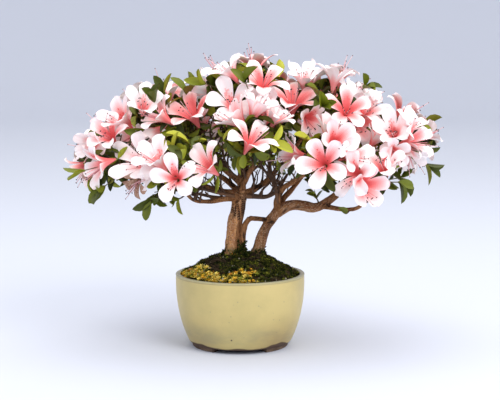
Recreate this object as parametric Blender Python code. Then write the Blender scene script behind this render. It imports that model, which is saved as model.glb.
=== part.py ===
"""Azalea bonsai in full bloom, standing in a round glazed pot with three feet.

Two trunks rise from one mossy mound and a thin arched stem joins them. Each bough is one tapering
limb that ends where it enters its mass of blossom and leaves. The front of the tree faces -Y.
"""

import math
import random

import bmesh
import bpy
from mathutils import Matrix, Vector
from mathutils.bvhtree import BVHTree
from mathutils.kdtree import KDTree

# Driving sizes, in millimetres, measured from the middle of the pot's foot.
MM = 0.001
FIT = 0.3
TOUCH = 0.0005
GOLDEN = math.pi * (3 - math.sqrt(5))
FOOTPRINT_CENTRE = Vector((19.6, 13.5, 0.0))

POT_RIM_RADIUS = 75.0
POT_FOOT_RADIUS = 56.0
POT_HEIGHT = 85.0
POT_WALL = 5.5
POT_BELLY = 1.75
POT_FLOOR = 9.0
POT_SEGMENTS = 32
LIP_ROLL = 1.1
DRAIN_RADIUS = 7.0
FOOT_HEIGHT = 4.0
FOOT_WIDTH = 10.0
FOOT_ARC = math.radians(54)
FOOT_COUNT = 3

GROUND = 102.5
MOUND_TOP_RADIUS = 35.0
MOUND_EDGE = 82.5
MOUND_SLOPE = 0.9

BLOOM_RADIUS = 26.0
BLOOM_LOBES = 5
LOBE_SPREAD = math.radians(28)
BLOOM_TRIES = 14
PEDICEL = 27.0
LEAF_LENGTH = 30.0
LEAF_WIDTH = 11.0
LEAF_THICKNESS = 0.5
LEAF_SINK = 0.35
LEAF_STEP = 2.6
LEAF_TRIES = 3
TWIG_TIP_RADIUS = 0.9
TWIG_TAPER = 0.82
TWIG_SIDES = 3
FORK_REACH = 0.42
FORK_OFFSET = 0.12
FORK_TAPER = 0.85
STEM_LENGTH = 7.0
SITE_TRIES = 90
GROWTH_TRIES = 8
SHARPEST_BEND = -0.1
BLOOM_SPACING = 37.0
LEAFY_SPACING = 25.0
CROWN_HEART = Vector((19.0, 0.0, 185.0))

# Limbs: path through the middle of the wood, radius at its two ends, swell of the foot.
TRUNKS = {
    "trunk_left": {
        "path": ((-10, 0, GROUND), (-8, 1, 130), (-2.5, 0, 160), (1, 0, 179)),
        "radii": (8.6, 7.0), "flare": 0.45,
    },
    "trunk_right": {
        "path": ((24, -1, GROUND), (31, 0, 130), (38, 0, 147), (45, 0, 159)),
        "radii": (6.6, 6.0), "flare": 0.45,
    },
}
ARCH = {
    "arch_stem": {
        "path": ((2.5, -6, GROUND), (3.2, -6, 128), (6, -5.5, 140), (11.5, -4, 149)),
        "radii": (3.8, 3.0), "flare": 0.2,
    },
    "arch_bridge": {
        "path": ((11.5, -4, 149.5), (20, -3, 149), (39, 0, 146)),
        "radii": (3.0, 3.2), "flare": 0.0,
    },
}
BOUGHS = {
    "bough_right_low": {
        "path": ((42, 0, 155), (57, -1, 164), (75, -3, 164), (92, -6, 163), (112, -6, 178),
                 (134, -4, 205), (150, -4, 220)),
        "radii": (5.8, 2.6),
    },
    "bough_leader": {
        "path": ((0, 0, 174), (2, 3, 200), (-5, 5, 228), (2, 2, 262)),
        "radii": (5.4, 2.4),
    },
    "bough_left_low": {
        "path": ((0, 0, 173), (-14, -5, 171), (-38, -18, 168), (-56, -34, 170), (-62, -44, 184)),
        "radii": (4.6, 2.2),
    },
    "bough_left_tip": {
        "path": ((0, 0, 176), (-22, 2, 180), (-48, 4, 188), (-82, 0, 198), (-108, -6, 207)),
        "radii": (4.6, 2.2),
    },
    "bough_top_right": {
        "path": ((0, 0, 175), (14, 3, 181), (28, 5, 190), (50, 8, 214), (78, 5, 250)),
        "radii": (4.6, 2.2),
    },
    "bough_left_top": {
        "path": ((1, 2, 190), (-22, 6, 208), (-48, 6, 228), (-68, 3, 243)),
        "radii": (3.8, 2.0),
    },
    "bough_right_front": {
        "path": ((44, 0, 156), (44, -3, 172), (52, -12, 188), (68, -34, 200), (78, -46, 207)),
        "radii": (4.2, 2.2),
    },
    "bough_right_tip": {
        "path": ((93, -4, 164), (112, -16, 163), (130, -28, 163), (143, -34, 172)),
        "radii": (3.1, 2.2), "flare": 0.0,
    },
    "bough_centre_front": {
        "path": ((1, 0, 184), (8, -14, 196), (16, -36, 214), (18, -52, 230)),
        "radii": (3.4, 2.0),
    },
    "bough_back_left": {
        "path": ((0, 0, 178), (-16, 20, 190), (-42, 42, 206), (-60, 54, 220)),
        "radii": (3.8, 2.0),
    },
    "bough_back_centre": {
        "path": ((0, 2, 182), (6, 24, 196), (9, 54, 216), (10, 68, 236)),
        "radii": (3.8, 2.0),
    },
    "bough_back_right": {
        "path": ((45, 1, 157), (52, 14, 172), (74, 38, 194), (94, 56, 214)),
        "radii": (4.0, 2.0),
    },
}
BOUGH_FLARE = 0.25

# Masses: middle and half-sizes of the space that each fills, and its lead blooms as
# (sideways, up) from the middle, on the side that faces the front.
MASSES = {
    "blossom_right_front": {
        "bough": "bough_right_front", "centre": (96, -66, 220), "radii": (42, 38, 34),
        "lead": ((-5, 1), (12, 28), (30, -15), (-37, 4)),
    },
    "blossom_left_front": {
        "bough": "bough_left_low", "centre": (-62, -62, 214), "radii": (42, 40, 34),
        "lead": ((-6, -10), (21, 10)),
    },
    "blossom_left_tip": {
        "bough": "bough_left_tip", "centre": (-142, -10, 220), "radii": (48, 56, 38),
        "lead": ((26, 2), (-30, 22), (-10, -28)),
    },
    "blossom_top_centre": {
        "bough": "bough_leader", "centre": (8, 0, 294), "radii": (54, 60, 36),
        "lead": ((-19, -6), (18, 17), (16, -11)),
    },
    "blossom_top_right": {
        "bough": "bough_top_right", "centre": (100, 0, 283), "radii": (50, 58, 34),
        "lead": ((18, 0), (-18, -18), (-42, 7)),
    },
    "blossom_left_top": {
        "bough": "bough_left_top", "centre": (-92, 0, 266), "radii": (52, 54, 34),
        "lead": ((-40, -3), (-15, 21), (36, 17)),
    },
    "blossom_right_shoulder": {
        "bough": "bough_right_low", "centre": (184, -5, 242), "radii": (42, 54, 34),
        "lead": ((22, 0), (-9, 1), (14, -22)),
    },
    "blossom_right_low": {
        "bough": "bough_right_tip", "centre": (152, -40, 196), "radii": (38, 48, 30),
        "lead": ((-9, 1), (10, 24)),
    },
    "blossom_centre_front": {
        "bough": "bough_centre_front", "centre": (18, -72, 250), "radii": (36, 34, 28),
        "lead": ((-2, 1),),
    },
    "blossom_back_left": {
        "bough": "bough_back_left", "centre": (-80, 70, 240), "radii": (56, 50, 44), "lead": (),
    },
    "blossom_back_centre": {
        "bough": "bough_back_centre", "centre": (14, 86, 262), "radii": (52, 50, 42), "lead": (),
    },
    "blossom_back_right": {
        "bough": "bough_back_right", "centre": (114, 70, 240), "radii": (56, 50, 44), "lead": (),
    },
}


# Scene, finishes and mesh helpers

def clear_scene():
    for obj in list(bpy.data.objects):
        bpy.data.objects.remove(obj)


def finish(name, colour, roughness):
    """A plain Principled BSDF."""
    material = bpy.data.materials.new(name)
    material.use_nodes = True
    shader = material.node_tree.nodes["Principled BSDF"]
    shader.inputs["Base Color"].default_value = (*colour, 1.0)
    shader.inputs["Roughness"].default_value = roughness
    return material


def add_object(name, bm, material, collection=None):
    """Turns a bmesh drawn in millimetres into an object in metres."""
    bmesh.ops.recalc_face_normals(bm, faces=bm.faces)
    bmesh.ops.scale(bm, vec=(MM, MM, MM), verts=bm.verts)
    mesh = bpy.data.meshes.new(name)
    bm.to_mesh(mesh)
    bm.free()
    mesh.materials.append(material)
    obj = bpy.data.objects.new(name, mesh)
    (collection or bpy.context.scene.collection).objects.link(obj)
    return obj


def smooth(obj, angle_deg):
    obj.data.shade_smooth()
    obj.data.set_sharp_from_angle(angle=math.radians(angle_deg))


def bake_modifiers(obj):
    """Replaces the mesh with what its modifiers make of it."""
    graph = bpy.context.evaluated_depsgraph_get()
    made = bpy.data.meshes.new_from_object(obj.evaluated_get(graph))
    obj.modifiers.clear()
    obj.data = made


def cut_with(obj, cutter):
    """Cuts the cutter's shape out of obj and removes the cutter."""
    cutter.hide_render = True
    cutter.display_type = "WIRE"
    cut = obj.modifiers.new("cut", "BOOLEAN")
    cut.operation = "DIFFERENCE"
    cut.solver = "EXACT"
    cut.object = cutter
    bake_modifiers(obj)
    bpy.data.objects.remove(cutter)


def fuse(obj, collection, solver):
    """Joins every object of the collection to obj and removes them."""
    join = obj.modifiers.new("join", "BOOLEAN")
    join.operation = "UNION"
    join.operand_type = "COLLECTION"
    join.collection = collection
    join.solver = solver
    join.material_mode = "TRANSFER"
    bake_modifiers(obj)
    for part in list(collection.objects):
        bpy.data.objects.remove(part)
    bpy.data.collections.remove(collection)


def island_of(start):
    """All vertices that edges join to this one."""
    found, front = {start}, [start]
    while front:
        vert = front.pop()
        for edge in vert.link_edges:
            other = edge.other_vert(vert)
            if other not in found:
                found.add(other)
                front.append(other)
    return found


def volume_of(verts):
    """Signed volume inside the triangles of an island: negative for a sealed hollow."""
    total = 0.0
    for face in {face for vert in verts for face in vert.link_faces}:
        a, b, c = (vert.co for vert in face.verts)
        total += a.dot(b.cross(c)) / 6
    return total


def keep_main_body(obj):
    """Fills sealed hollows and drops loose scraps: only the largest closed shell stays."""
    bm = bmesh.new()
    bm.from_mesh(obj.data)
    bmesh.ops.triangulate(bm, faces=bm.faces)
    left, islands = set(bm.verts), []
    while left:
        island = island_of(next(iter(left)))
        left -= island
        islands.append(island)
    islands.sort(key=volume_of, reverse=True)
    for island in islands[1:]:
        bmesh.ops.delete(bm, geom=list(island), context="VERTS")
    bm.to_mesh(obj.data)
    bm.free()


def touches_itself(obj):
    """Whether two corners that no edge joins lie so close that they would fuse."""
    bm = bmesh.new()
    bm.from_mesh(obj.data)
    near = KDTree(len(bm.verts))
    for vert in bm.verts:
        near.insert(vert.co, vert.index)
    near.balance()
    for vert in bm.verts:
        joined = {vert.index, *(edge.other_vert(vert).index for edge in vert.link_edges)}
        if any(index not in joined for _, index, _ in near.find_range(vert.co, TOUCH * MM)):
            bm.free()
            return True
    bm.free()
    return False


def tree_of(faces):
    """A search tree of faces drawn in millimetres."""
    corners, polygons = [], []
    for face in faces:
        first = len(corners)
        corners += [vert.co.copy() for vert in face.verts]
        polygons.append(tuple(range(first, len(corners))))
    return BVHTree.FromPolygons(corners, polygons)


def tree_of_object(obj):
    """A search tree of an object's surface, in millimetres."""
    corners = [vert.co / MM for vert in obj.data.vertices]
    return BVHTree.FromPolygons(corners, [tuple(face.vertices) for face in obj.data.polygons])


def ring_point(angle, radius, height):
    return Vector((radius * math.cos(angle), radius * math.sin(angle), height))


# Tubes

def frames_along(path):
    """(point, side, tangent) at each point, the side carried along without twist."""
    tangents = []
    for i in range(len(path)):
        ahead = path[min(i + 1, len(path) - 1)] - path[max(i - 1, 0)]
        tangents.append(ahead.normalized())
    side = tangents[0].orthogonal().normalized()
    found = []
    for i, (point, tangent) in enumerate(zip(path, tangents)):
        if i:
            side = tangents[i - 1].rotation_difference(tangent) @ side
        found.append((point, side.copy(), tangent))
    return found


def rings_along(bm, path, radii, sides, level_foot=False):
    """A ring of vertices at each point. A level foot gets a horizontal first ring."""
    rings = []
    for i, ((point, side, tangent), radius) in enumerate(zip(frames_along(path), radii)):
        if level_foot and i == 0:
            tangent = Vector((0, 0, 1))
            side = (side - tangent * side.dot(tangent)).normalized()
        other = tangent.cross(side)
        ring = []
        for k in range(sides):
            angle = 2 * math.pi * k / sides
            out = side * math.cos(angle) + other * math.sin(angle)
            ring.append(bm.verts.new(point + out * radius))
        rings.append(ring)
    return rings


def skin(bm, rings, open_end=False):
    """Joins rings into one skin, closed at its start and, unless left open, at its end."""
    for a, b in zip(rings, rings[1:]):
        for i in range(len(a)):
            j = (i + 1) % len(a)
            bm.faces.new((a[i], a[j], b[j], b[i]))
    bm.faces.new(rings[0][::-1])
    if not open_end:
        bm.faces.new(rings[-1])


def tube(path, radii, sides, level_foot=False):
    bm = bmesh.new()
    skin(bm, rings_along(bm, path, radii, sides, level_foot))
    return bm


# Pot and soil

def wall_radius(height):
    """Radius of the pot's outer wall: a bowl that steepens towards the rim."""
    inward = (1 - height / POT_HEIGHT) ** POT_BELLY
    return POT_RIM_RADIUS - (POT_RIM_RADIUS - POT_FOOT_RADIUS) * inward


def spun(profile):
    """A closed outline of (radius, height) points turned round the pot's axis."""
    bm = bmesh.new()
    verts = [bm.verts.new((radius, 0.0, height)) for radius, height in profile]
    edges = [bm.edges.new((a, b)) for a, b in zip(verts, verts[1:] + verts[:1])]
    bmesh.ops.spin(bm, geom=verts + edges, cent=(0, 0, 0), axis=(0, 0, 1), dvec=(0, 0, 0),
                   angle=2 * math.pi, steps=POT_SEGMENTS, use_merge=True)
    bmesh.ops.remove_doubles(bm, verts=bm.verts, dist=0.001)
    bmesh.ops.dissolve_degenerate(bm, edges=bm.edges, dist=0.001)
    return bm


def pot_profile():
    top = POT_HEIGHT - 2 * LIP_ROLL
    outer = [(wall_radius(z), z) for z in (FOOT_HEIGHT, 14.0, 26.0, 42.0, 60.0, top)]
    lip = [
        (POT_RIM_RADIUS + LIP_ROLL / 2, POT_HEIGHT - LIP_ROLL),
        (POT_RIM_RADIUS - LIP_ROLL, POT_HEIGHT),
        (POT_RIM_RADIUS - POT_WALL + LIP_ROLL / 2, POT_HEIGHT),
        (POT_RIM_RADIUS - POT_WALL, POT_HEIGHT - LIP_ROLL),
    ]
    inner = [(POT_RIM_RADIUS - POT_WALL, MOUND_EDGE)]
    inner += [(wall_radius(z) - POT_WALL, z) for z in (60.0, 42.0, 26.0, 14.0)]
    floor = [
        (wall_radius(POT_FLOOR) - POT_WALL - 3, POT_FLOOR),
        (DRAIN_RADIUS, POT_FLOOR),
        (DRAIN_RADIUS, FOOT_HEIGHT),
    ]
    return outer + lip + inner + floor


def add_foot(index, glaze, collection):
    """One of the short curved blocks that the arches in the foot ring leave standing."""
    middle = -math.pi / 2 + (index + 0.5) * 2 * math.pi / FOOT_COUNT
    inner, outer, top = POT_FOOT_RADIUS - FOOT_WIDTH, POT_FOOT_RADIUS, POT_FLOOR - 2
    section = ((inner, 0.0), (outer, 0.0), (outer + 0.3, top), (inner, top))
    bm = bmesh.new()
    rings = []
    for step in range(7):
        angle = middle + FOOT_ARC * (step / 6 - 0.5)
        rings.append([bm.verts.new(ring_point(angle, radius, z)) for radius, z in section])
    skin(bm, rings)
    add_object(f"foot_{index}", bm, glaze, collection)


def add_pot(glaze):
    pot = add_object("pot", spun(pot_profile()), glaze)
    feet = bpy.data.collections.new("feet")
    for index in range(FOOT_COUNT):
        add_foot(index, glaze, feet)
    fuse(pot, feet, "EXACT")
    smooth(pot, 35)


def add_soil(earth):
    """The root ball that fills the pot, domed to a level top on which the trunks stand."""
    inset = POT_WALL + FIT
    base = POT_FLOOR + FIT
    profile = [(0.0, base), (wall_radius(base) - inset - 4, base)]
    profile += [(wall_radius(z) - inset, z) for z in (14.0, 26.0, 42.0, 60.0)]
    profile.append((POT_RIM_RADIUS - inset, MOUND_EDGE))
    run = POT_RIM_RADIUS - inset - MOUND_TOP_RADIUS
    for share in (0.3, 0.65):
        height = MOUND_EDGE + (GROUND - FIT - MOUND_EDGE) * share ** MOUND_SLOPE
        profile.append((MOUND_TOP_RADIUS + run * (1 - share), height))
    profile += [(MOUND_TOP_RADIUS, GROUND - FIT), (0.0, GROUND - FIT)]
    smooth(add_object("mossy_soil", spun(profile), earth), 40)


# Trunks, arch and boughs

def catmull_rom(points, per_span):
    """A smooth path through the points."""
    points = [Vector(point) for point in points]
    padded = [2 * points[0] - points[1], *points, 2 * points[-1] - points[-2]]
    path = []
    for i in range(1, len(padded) - 2):
        p0, p1, p2, p3 = padded[i - 1:i + 3]
        for step in range(per_span):
            t = step / per_span
            path.append(0.5 * (2 * p1 + (p2 - p0) * t + (2 * p0 - 5 * p1 + 4 * p2 - p3) * t ** 2
                               + (3 * p1 - p0 - 3 * p2 + p3) * t ** 3))
    return [*path, points[-1]]


def limb_shape(limb, sides, per_span, level_foot, swell=0.0):
    """The tapering tube of one limb, with the flare of its foot and slight knuckles."""
    path = catmull_rom(limb["path"], per_span)
    thick, thin = limb["radii"]
    radii = []
    for i in range(len(path)):
        t = i / (len(path) - 1)
        flare = 1 + limb.get("flare", BOUGH_FLARE) * math.exp(-t / 0.12)
        knuckle = 1 + 0.05 * math.sin(9 * t + thick)
        radii.append((thick + (thin - thick) * t) * flare * knuckle + swell)
    return tube(path, radii, sides, level_foot)


def add_limbs(bark):
    """Each limb is cut back, with a fitting gap, by the ones before it that it meets."""
    made, standing = [], []
    for limbs, sides, per_span in ((TRUNKS, 10, 3), (ARCH, 6, 3), (BOUGHS, 6, 2)):
        for name, limb in limbs.items():
            shape = (limb, sides, per_span, limb["path"][0][2] == GROUND)
            bm = limb_shape(*shape)
            tree = tree_of(bm.faces)
            obj = add_object(name, bm, bark)
            for other_tree, other_shape in standing:
                if tree.overlap(other_tree):
                    cutter = add_object("cutter", limb_shape(*other_shape, swell=FIT), bark)
                    cut_with(obj, cutter)
                    keep_main_body(obj)
            smooth(obj, 50)
            standing.append((tree, shape))
            made.append(obj)
    return made


# Blooms and leaves

def turned_to(facing, roll):
    """Rotation that takes +Z to the facing direction, after a roll about it."""
    return facing.to_track_quat("Z", "Y").to_matrix() @ Matrix.Rotation(roll, 3, "Z")


def angle_between(a, b):
    return abs((a - b + math.pi) % (2 * math.pi) - math.pi)


def close_waist(bm, ring, waist, throat, turn):
    """Joins the few corners of a twig's end to the many of the funnel's waist."""
    back = turn.transposed()
    bearings = []
    for vert in ring:
        local = back @ (vert.co - throat)
        bearings.append(math.atan2(local.y, local.x))
    nearest = []
    for i in range(len(waist)):
        middle = (i - 0.5) * 2 * math.pi / len(waist)
        nearest.append(min(range(len(ring)), key=lambda k: angle_between(bearings[k], middle)))
    for i, k in enumerate(nearest):
        bm.faces.new((ring[k], waist[i], waist[(i + 1) % len(waist)]))
        if k != nearest[i - 1]:
            bm.faces.new((ring[nearest[i - 1]], waist[i], ring[k]))


def open_bloom(bm, ring, throat, turn, radius):
    """Opens the end of a twig into a funnel with five pointed lobes."""
    pitch = 2 * math.pi / BLOOM_LOBES

    def place(angle, out, up):
        return bm.verts.new(throat + turn @ ring_point(angle, out * radius, up * radius))

    heart = place(0, 0, -0.28)
    waist = []
    for i in range(BLOOM_LOBES):
        waist.append(place((i - 0.5) * pitch, 0.36, -0.10))
        waist.append(place(i * pitch, 0.52, -0.09))
    for i in range(BLOOM_LOBES):
        notch, rib, next_notch = waist[2 * i], waist[2 * i + 1], waist[(2 * i + 2) % len(waist)]
        edge = [
            notch,
            place(i * pitch - LOBE_SPREAD, 0.80, 0.13),
            place(i * pitch, 1.0, 0.20),
            place(i * pitch + LOBE_SPREAD, 0.80, 0.13),
            next_notch,
        ]
        for a, b in zip(edge, edge[1:]):
            bm.faces.new((heart, a, b))
            bm.faces.new((rib, b, a))
    close_waist(bm, ring, waist, throat, turn)


def leaf_shape(root, direction, up, length, width):
    """An eight-faced blade, thickest at its middle, pointed at both ends."""
    across = direction.cross(up).normalized()
    normal = across.cross(direction)
    middle = root + direction * length * 0.5
    bm = bmesh.new()
    corners = [root, middle - across * width / 2, root + direction * length,
               middle + across * width / 2]
    rim = [bm.verts.new(corner) for corner in corners]
    for side in (1, -1):
        crown = bm.verts.new(middle + normal * side * LEAF_THICKNESS / 2)
        for a, b in zip(rim, rim[1:] + rim[:1]):
            bm.faces.new((crown, a, b) if side < 0 else (crown, b, a))
    return bm


# Sites of blooms and leafy tips

def is_inside(point, mass, scale):
    away = point - Vector(mass["centre"])
    return sum((away[i] / (mass["radii"][i] * scale)) ** 2 for i in range(3)) < 1


def site(mass, unit, rng, kind):
    """A place on the mass's own surface, facing outwards and a little up."""
    radii = Vector(mass["radii"])
    point = Vector(mass["centre"]) + Vector([unit[i] * radii[i] for i in range(3)])
    normal = Vector([unit[i] / radii[i] for i in range(3)]).normalized()
    outward = (point - CROWN_HEART).normalized()
    wander = Vector([rng.uniform(-0.25, 0.25) for _ in range(3)])
    facing = (normal * 0.7 + outward * 0.4 + Vector((0, 0, 0.2)) + wander).normalized()
    stalk = PEDICEL if kind == "bloom" else PEDICEL / 2
    return {"kind": kind, "point": point, "facing": facing, "root": point - facing * stalk,
            "size": rng.uniform(0.92, 1.08)}


def lead_sites(mass, rng):
    """The blooms that show best from the front."""
    for sideways, up in mass["lead"]:
        x = sideways / mass["radii"][0]
        z = up / mass["radii"][2]
        y = -math.sqrt(max(0.02, 1 - x * x - z * z))
        yield site(mass, Vector((x, y, z)).normalized(), rng, "bloom")


def spread_sites(name, rng, taken, spacing, kind):
    """Fills the open side of a mass with sites no closer to each other than the spacing."""
    mass = MASSES[name]
    for i in range(SITE_TRIES):
        z = 1 - (2 * i + 1) / SITE_TRIES
        ring = math.sqrt(1 - z * z)
        angle = i * GOLDEN + rng.uniform(-0.2, 0.2)
        unit = Vector((ring * math.cos(angle), ring * math.sin(angle), z))
        spot = site(mass, unit, rng, kind)
        outward = (spot["point"] - CROWN_HEART).normalized()
        buried = any(is_inside(spot["point"], other, 0.96)
                     for key, other in MASSES.items() if key != name)
        crowded = any((spot["point"] - other["point"]).length < spacing for other in taken)
        if unit.dot(outward) > 0.3 and not buried and not crowded:
            taken.append(spot)
            yield spot


def plan_sites():
    """Every mass's sites: its lead blooms, then the other blooms, then the leafy tips."""
    taken = []
    plan = {name: [] for name in MASSES}
    rngs = {name: random.Random(f"{name} sites") for name in MASSES}
    for name, mass in MASSES.items():
        for spot in lead_sites(mass, rngs[name]):
            plan[name].append(spot)
            taken.append(spot)
    for spacing, kind in ((BLOOM_SPACING, "bloom"), (LEAFY_SPACING, "leafy")):
        for name in MASSES:
            plan[name] += spread_sites(name, rngs[name], taken, spacing, kind)
    return plan


def split(spots, knot):
    """Two groups, gathered round the pair of sites that lie furthest apart from the knot."""
    ways = [(spot["root"] - knot).normalized() for spot in spots]
    pairs = [(a.dot(b), i, j) for i, a in enumerate(ways) for j, b in enumerate(ways) if i < j]
    _, first, second = min(pairs)
    near = [s for s, way in zip(spots, ways) if way.dot(ways[first]) >= way.dot(ways[second])]
    far = [s for s, way in zip(spots, ways) if way.dot(ways[first]) < way.dot(ways[second])]
    return sorted((near, far), key=len, reverse=True)


# Masses of blossom

class Growth:
    """A mass as it grows: its strands of twig, and all that a new piece must keep clear of."""

    def __init__(self, name, obstacles, finishes, attempt):
        self.name = name
        self.obstacles = list(obstacles)
        self.finishes = finishes
        self.rng = random.Random(f"{name} twigs {attempt}")
        self.strands = []
        self.pieces = []
        self.twigs = []

    def jitter(self, amount):
        return Vector([self.rng.uniform(-amount, amount) for _ in range(3)])

    def is_free(self, faces, twigs=()):
        tree = tree_of(faces)
        return not any(tree.overlap(other) for other in (*self.obstacles, *twigs))

    def is_way_free(self, start, end, radius):
        bm = tube([start, end], [radius * 1.3] * 2, TWIG_SIDES)
        free = self.is_free(bm.faces)
        bm.free()
        return free

    def add(self, bm, kind):
        self.pieces.append(add_object(f"{self.name}_{kind}_{len(self.pieces)}", bm,
                                      self.finishes[kind]))

    def next_knot(self, start, spots, thick):
        """Where the twig forks next, on the way to the middle of its sites."""
        middle = sum((spot["root"] for spot in spots), Vector()) / len(spots)
        for wander in (1.5, 3, 5, 8, 12):
            knot = start.lerp(middle, FORK_REACH) + self.jitter(wander)
            if self.is_way_free(start, knot, thick):
                return knot
        return None

    def grow(self, path, radii, spots):
        """Carries a strand on to the larger group of sites, and forks one off to the smaller."""
        knot = self.next_knot(path[-1], spots, radii[-1]) if len(spots) > 1 else None
        if knot is None:
            self.strands.append((path, radii, spots[0]))
            return
        thin = max(TWIG_TIP_RADIUS, radii[-1] * TWIG_TAPER)
        larger, smaller = split(spots, knot)
        self.grow([*path, knot], [*radii, thin], larger)
        self.grow([knot.lerp(path[-1], FORK_OFFSET)], [thin * FORK_TAPER], smaller)

    def add_bloom(self, path, radii, spot):
        """Ends a strand in a bloom, turned and tilted until it clears what is round it."""
        for attempt in range(BLOOM_TRIES):
            facing = (spot["facing"] + self.jitter(0.03 * attempt)).normalized()
            radius = BLOOM_RADIUS * spot["size"] * (1 - 0.012 * attempt)
            turn = turned_to(facing, self.rng.uniform(0, 2 * math.pi))
            knot = spot["point"] - facing * PEDICEL
            if (knot - path[-1]).normalized().dot(facing) < SHARPEST_BEND:
                continue
            heel = spot["point"] - facing * radius * 0.85
            bm = bmesh.new()
            rings = rings_along(bm, [*path, knot, heel], [*radii, *[TWIG_TIP_RADIUS] * 2],
                                TWIG_SIDES)
            skin(bm, rings, open_end=True)
            twig_faces = len(bm.faces)
            open_bloom(bm, rings[-1], spot["point"], turn, radius)
            if self.is_free(bm.faces):
                bm.faces.ensure_lookup_table()
                self.obstacles.append(tree_of(bm.faces[twig_faces:]))
                self.twigs.append(tree_of(bm.faces[:twig_faces]))
                self.add(bm, "bloom")
                return knot, path[-1]
            bm.free()
        return None

    def add_tip(self, path, radii, spot):
        """Ends a strand in a blunt bud."""
        knot = spot["point"] - spot["facing"] * PEDICEL / 2
        bm = tube([*path, knot], [*radii, TWIG_TIP_RADIUS], TWIG_SIDES)
        free = self.is_free(bm.faces)
        if not free:
            bm.free()
            if len(path) < 2:
                return None
            bm = tube(path, radii, TWIG_SIDES)
        self.twigs.append(tree_of(bm.faces))
        self.add(bm, "wood")
        return (knot, path[-1]) if free else None

    def add_leaves(self, own, knot, before, count):
        """Leaves round the end of a twig, one below the other, each rooted in its wood."""
        others = self.twigs[:own] + self.twigs[own + 1:]
        reach = (knot - before).length
        heading = (knot - before).normalized()
        turn = turned_to(heading, self.rng.uniform(0, 2 * math.pi))
        for i in range(count):
            root = knot - heading * min(LEAF_STEP * (i + 0.6), reach * 0.8)
            for _ in range(LEAF_TRIES):
                angle = GOLDEN * i + self.rng.uniform(-0.4, 0.4)
                direction = turn @ ring_point(angle, 1.0, self.rng.uniform(0.2, 0.8))
                direction.normalize()
                bm = leaf_shape(root - direction * LEAF_SINK, direction, heading,
                                LEAF_LENGTH * self.rng.uniform(0.8, 1.1),
                                LEAF_WIDTH * self.rng.uniform(0.85, 1.1))
                if self.is_free(bm.faces, others):
                    self.obstacles.append(tree_of(bm.faces))
                    self.add(bm, "leaf")
                    break
                bm.free()

    def flesh_out(self):
        """Blooms first, so that leaves and leafy tips find their way between them."""
        ends = []
        for path, radii, spot in sorted(self.strands, key=lambda s: s[2]["kind"]):
            end = self.add_bloom(path, radii, spot) if spot["kind"] == "bloom" else None
            if end:
                ends.append((len(self.twigs) - 1, *end, self.rng.choice((0, 1, 1))))
                continue
            end = self.add_tip(path, radii, spot)
            if end:
                ends.append((len(self.twigs) - 1, *end, 3))
        for end in ends:
            self.add_leaves(*end)

    def join(self):
        """One union of all the pieces."""
        stem, *others = self.pieces
        rest = bpy.data.collections.new(f"{self.name}_pieces")
        for piece in others:
            bpy.context.scene.collection.objects.unlink(piece)
            rest.objects.link(piece)
        fuse(stem, rest, "MANIFOLD")
        keep_main_body(stem)
        stem.name = self.name
        return stem


def add_mass(name, mass, spots, obstacles, finishes):
    """One node: the stem that leaves the bough's tip, and all that it carries."""
    bough = BOUGHS[mass["bough"]]
    tip, _, heading = frames_along(catmull_rom(bough["path"], 2))[-1]
    thick = bough["radii"][1] * 0.9
    start = tip + heading * FIT
    for attempt in range(GROWTH_TRIES):
        growth = Growth(name, obstacles, finishes, attempt)
        growth.grow([start, start + heading * STEM_LENGTH], [thick, thick * 0.9], spots)
        growth.flesh_out()
        made = growth.join()
        if not touches_itself(made):
            return made
        bpy.data.objects.remove(made)
    raise RuntimeError(f"{name} touches itself however it grows")


def main():
    clear_scene()
    glaze = finish("celadon_glaze", (0.55, 0.52, 0.28), 0.3)
    earth = finish("moss_and_soil", (0.10, 0.11, 0.03), 0.95)
    bark = finish("bark", (0.23, 0.14, 0.08), 0.85)
    finishes = {
        "wood": bark,
        "leaf": finish("leaf_green", (0.10, 0.20, 0.03), 0.5),
        "bloom": finish("petal_pink", (0.90, 0.55, 0.55), 0.6),
    }
    add_pot(glaze)
    add_soil(earth)
    obstacles = [tree_of_object(limb) for limb in add_limbs(bark)]
    plan = plan_sites()
    for name, mass in MASSES.items():
        made = add_mass(name, mass, plan[name], obstacles, finishes)
        obstacles.append(tree_of_object(made))
    frame = bpy.data.objects.new("plant_frame", None)
    bpy.context.scene.collection.objects.link(frame)
    for obj in list(bpy.data.objects):
        if obj is not frame:
            obj.parent = frame
    frame.location = -FOOTPRINT_CENTRE * MM


main()
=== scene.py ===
"""Finished look of the azalea bonsai: glazed pot, mossy root ball, bark and a crown in bloom."""

import math
import random

import bpy
import numpy as np
from mathutils import Matrix, Vector, noise
from mathutils.bvhtree import BVHTree
from mathutils.kdtree import KDTree


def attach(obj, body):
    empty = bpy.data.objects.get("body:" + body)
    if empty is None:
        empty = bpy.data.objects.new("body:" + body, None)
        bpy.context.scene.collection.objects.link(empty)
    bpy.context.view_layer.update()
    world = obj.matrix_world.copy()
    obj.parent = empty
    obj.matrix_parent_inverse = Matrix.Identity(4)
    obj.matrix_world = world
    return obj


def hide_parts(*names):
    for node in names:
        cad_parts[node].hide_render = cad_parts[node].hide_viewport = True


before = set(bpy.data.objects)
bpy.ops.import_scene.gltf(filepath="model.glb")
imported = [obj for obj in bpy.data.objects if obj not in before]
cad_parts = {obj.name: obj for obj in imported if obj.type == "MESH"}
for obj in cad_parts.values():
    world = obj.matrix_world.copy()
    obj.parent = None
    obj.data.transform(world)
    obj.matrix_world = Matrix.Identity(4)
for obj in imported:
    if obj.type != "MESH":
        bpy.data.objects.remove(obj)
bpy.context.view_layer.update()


# Pot
# A wheel-thrown stoneware bowl with a rolled lip and one drain hole. A thin ash glaze covers
# it down to the feet: it pools pale green near the foot and breaks to brown at the lip.
MM = 0.001
POT_AXIS = Vector((-19.6, -13.5, 0.0)) * MM
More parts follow.
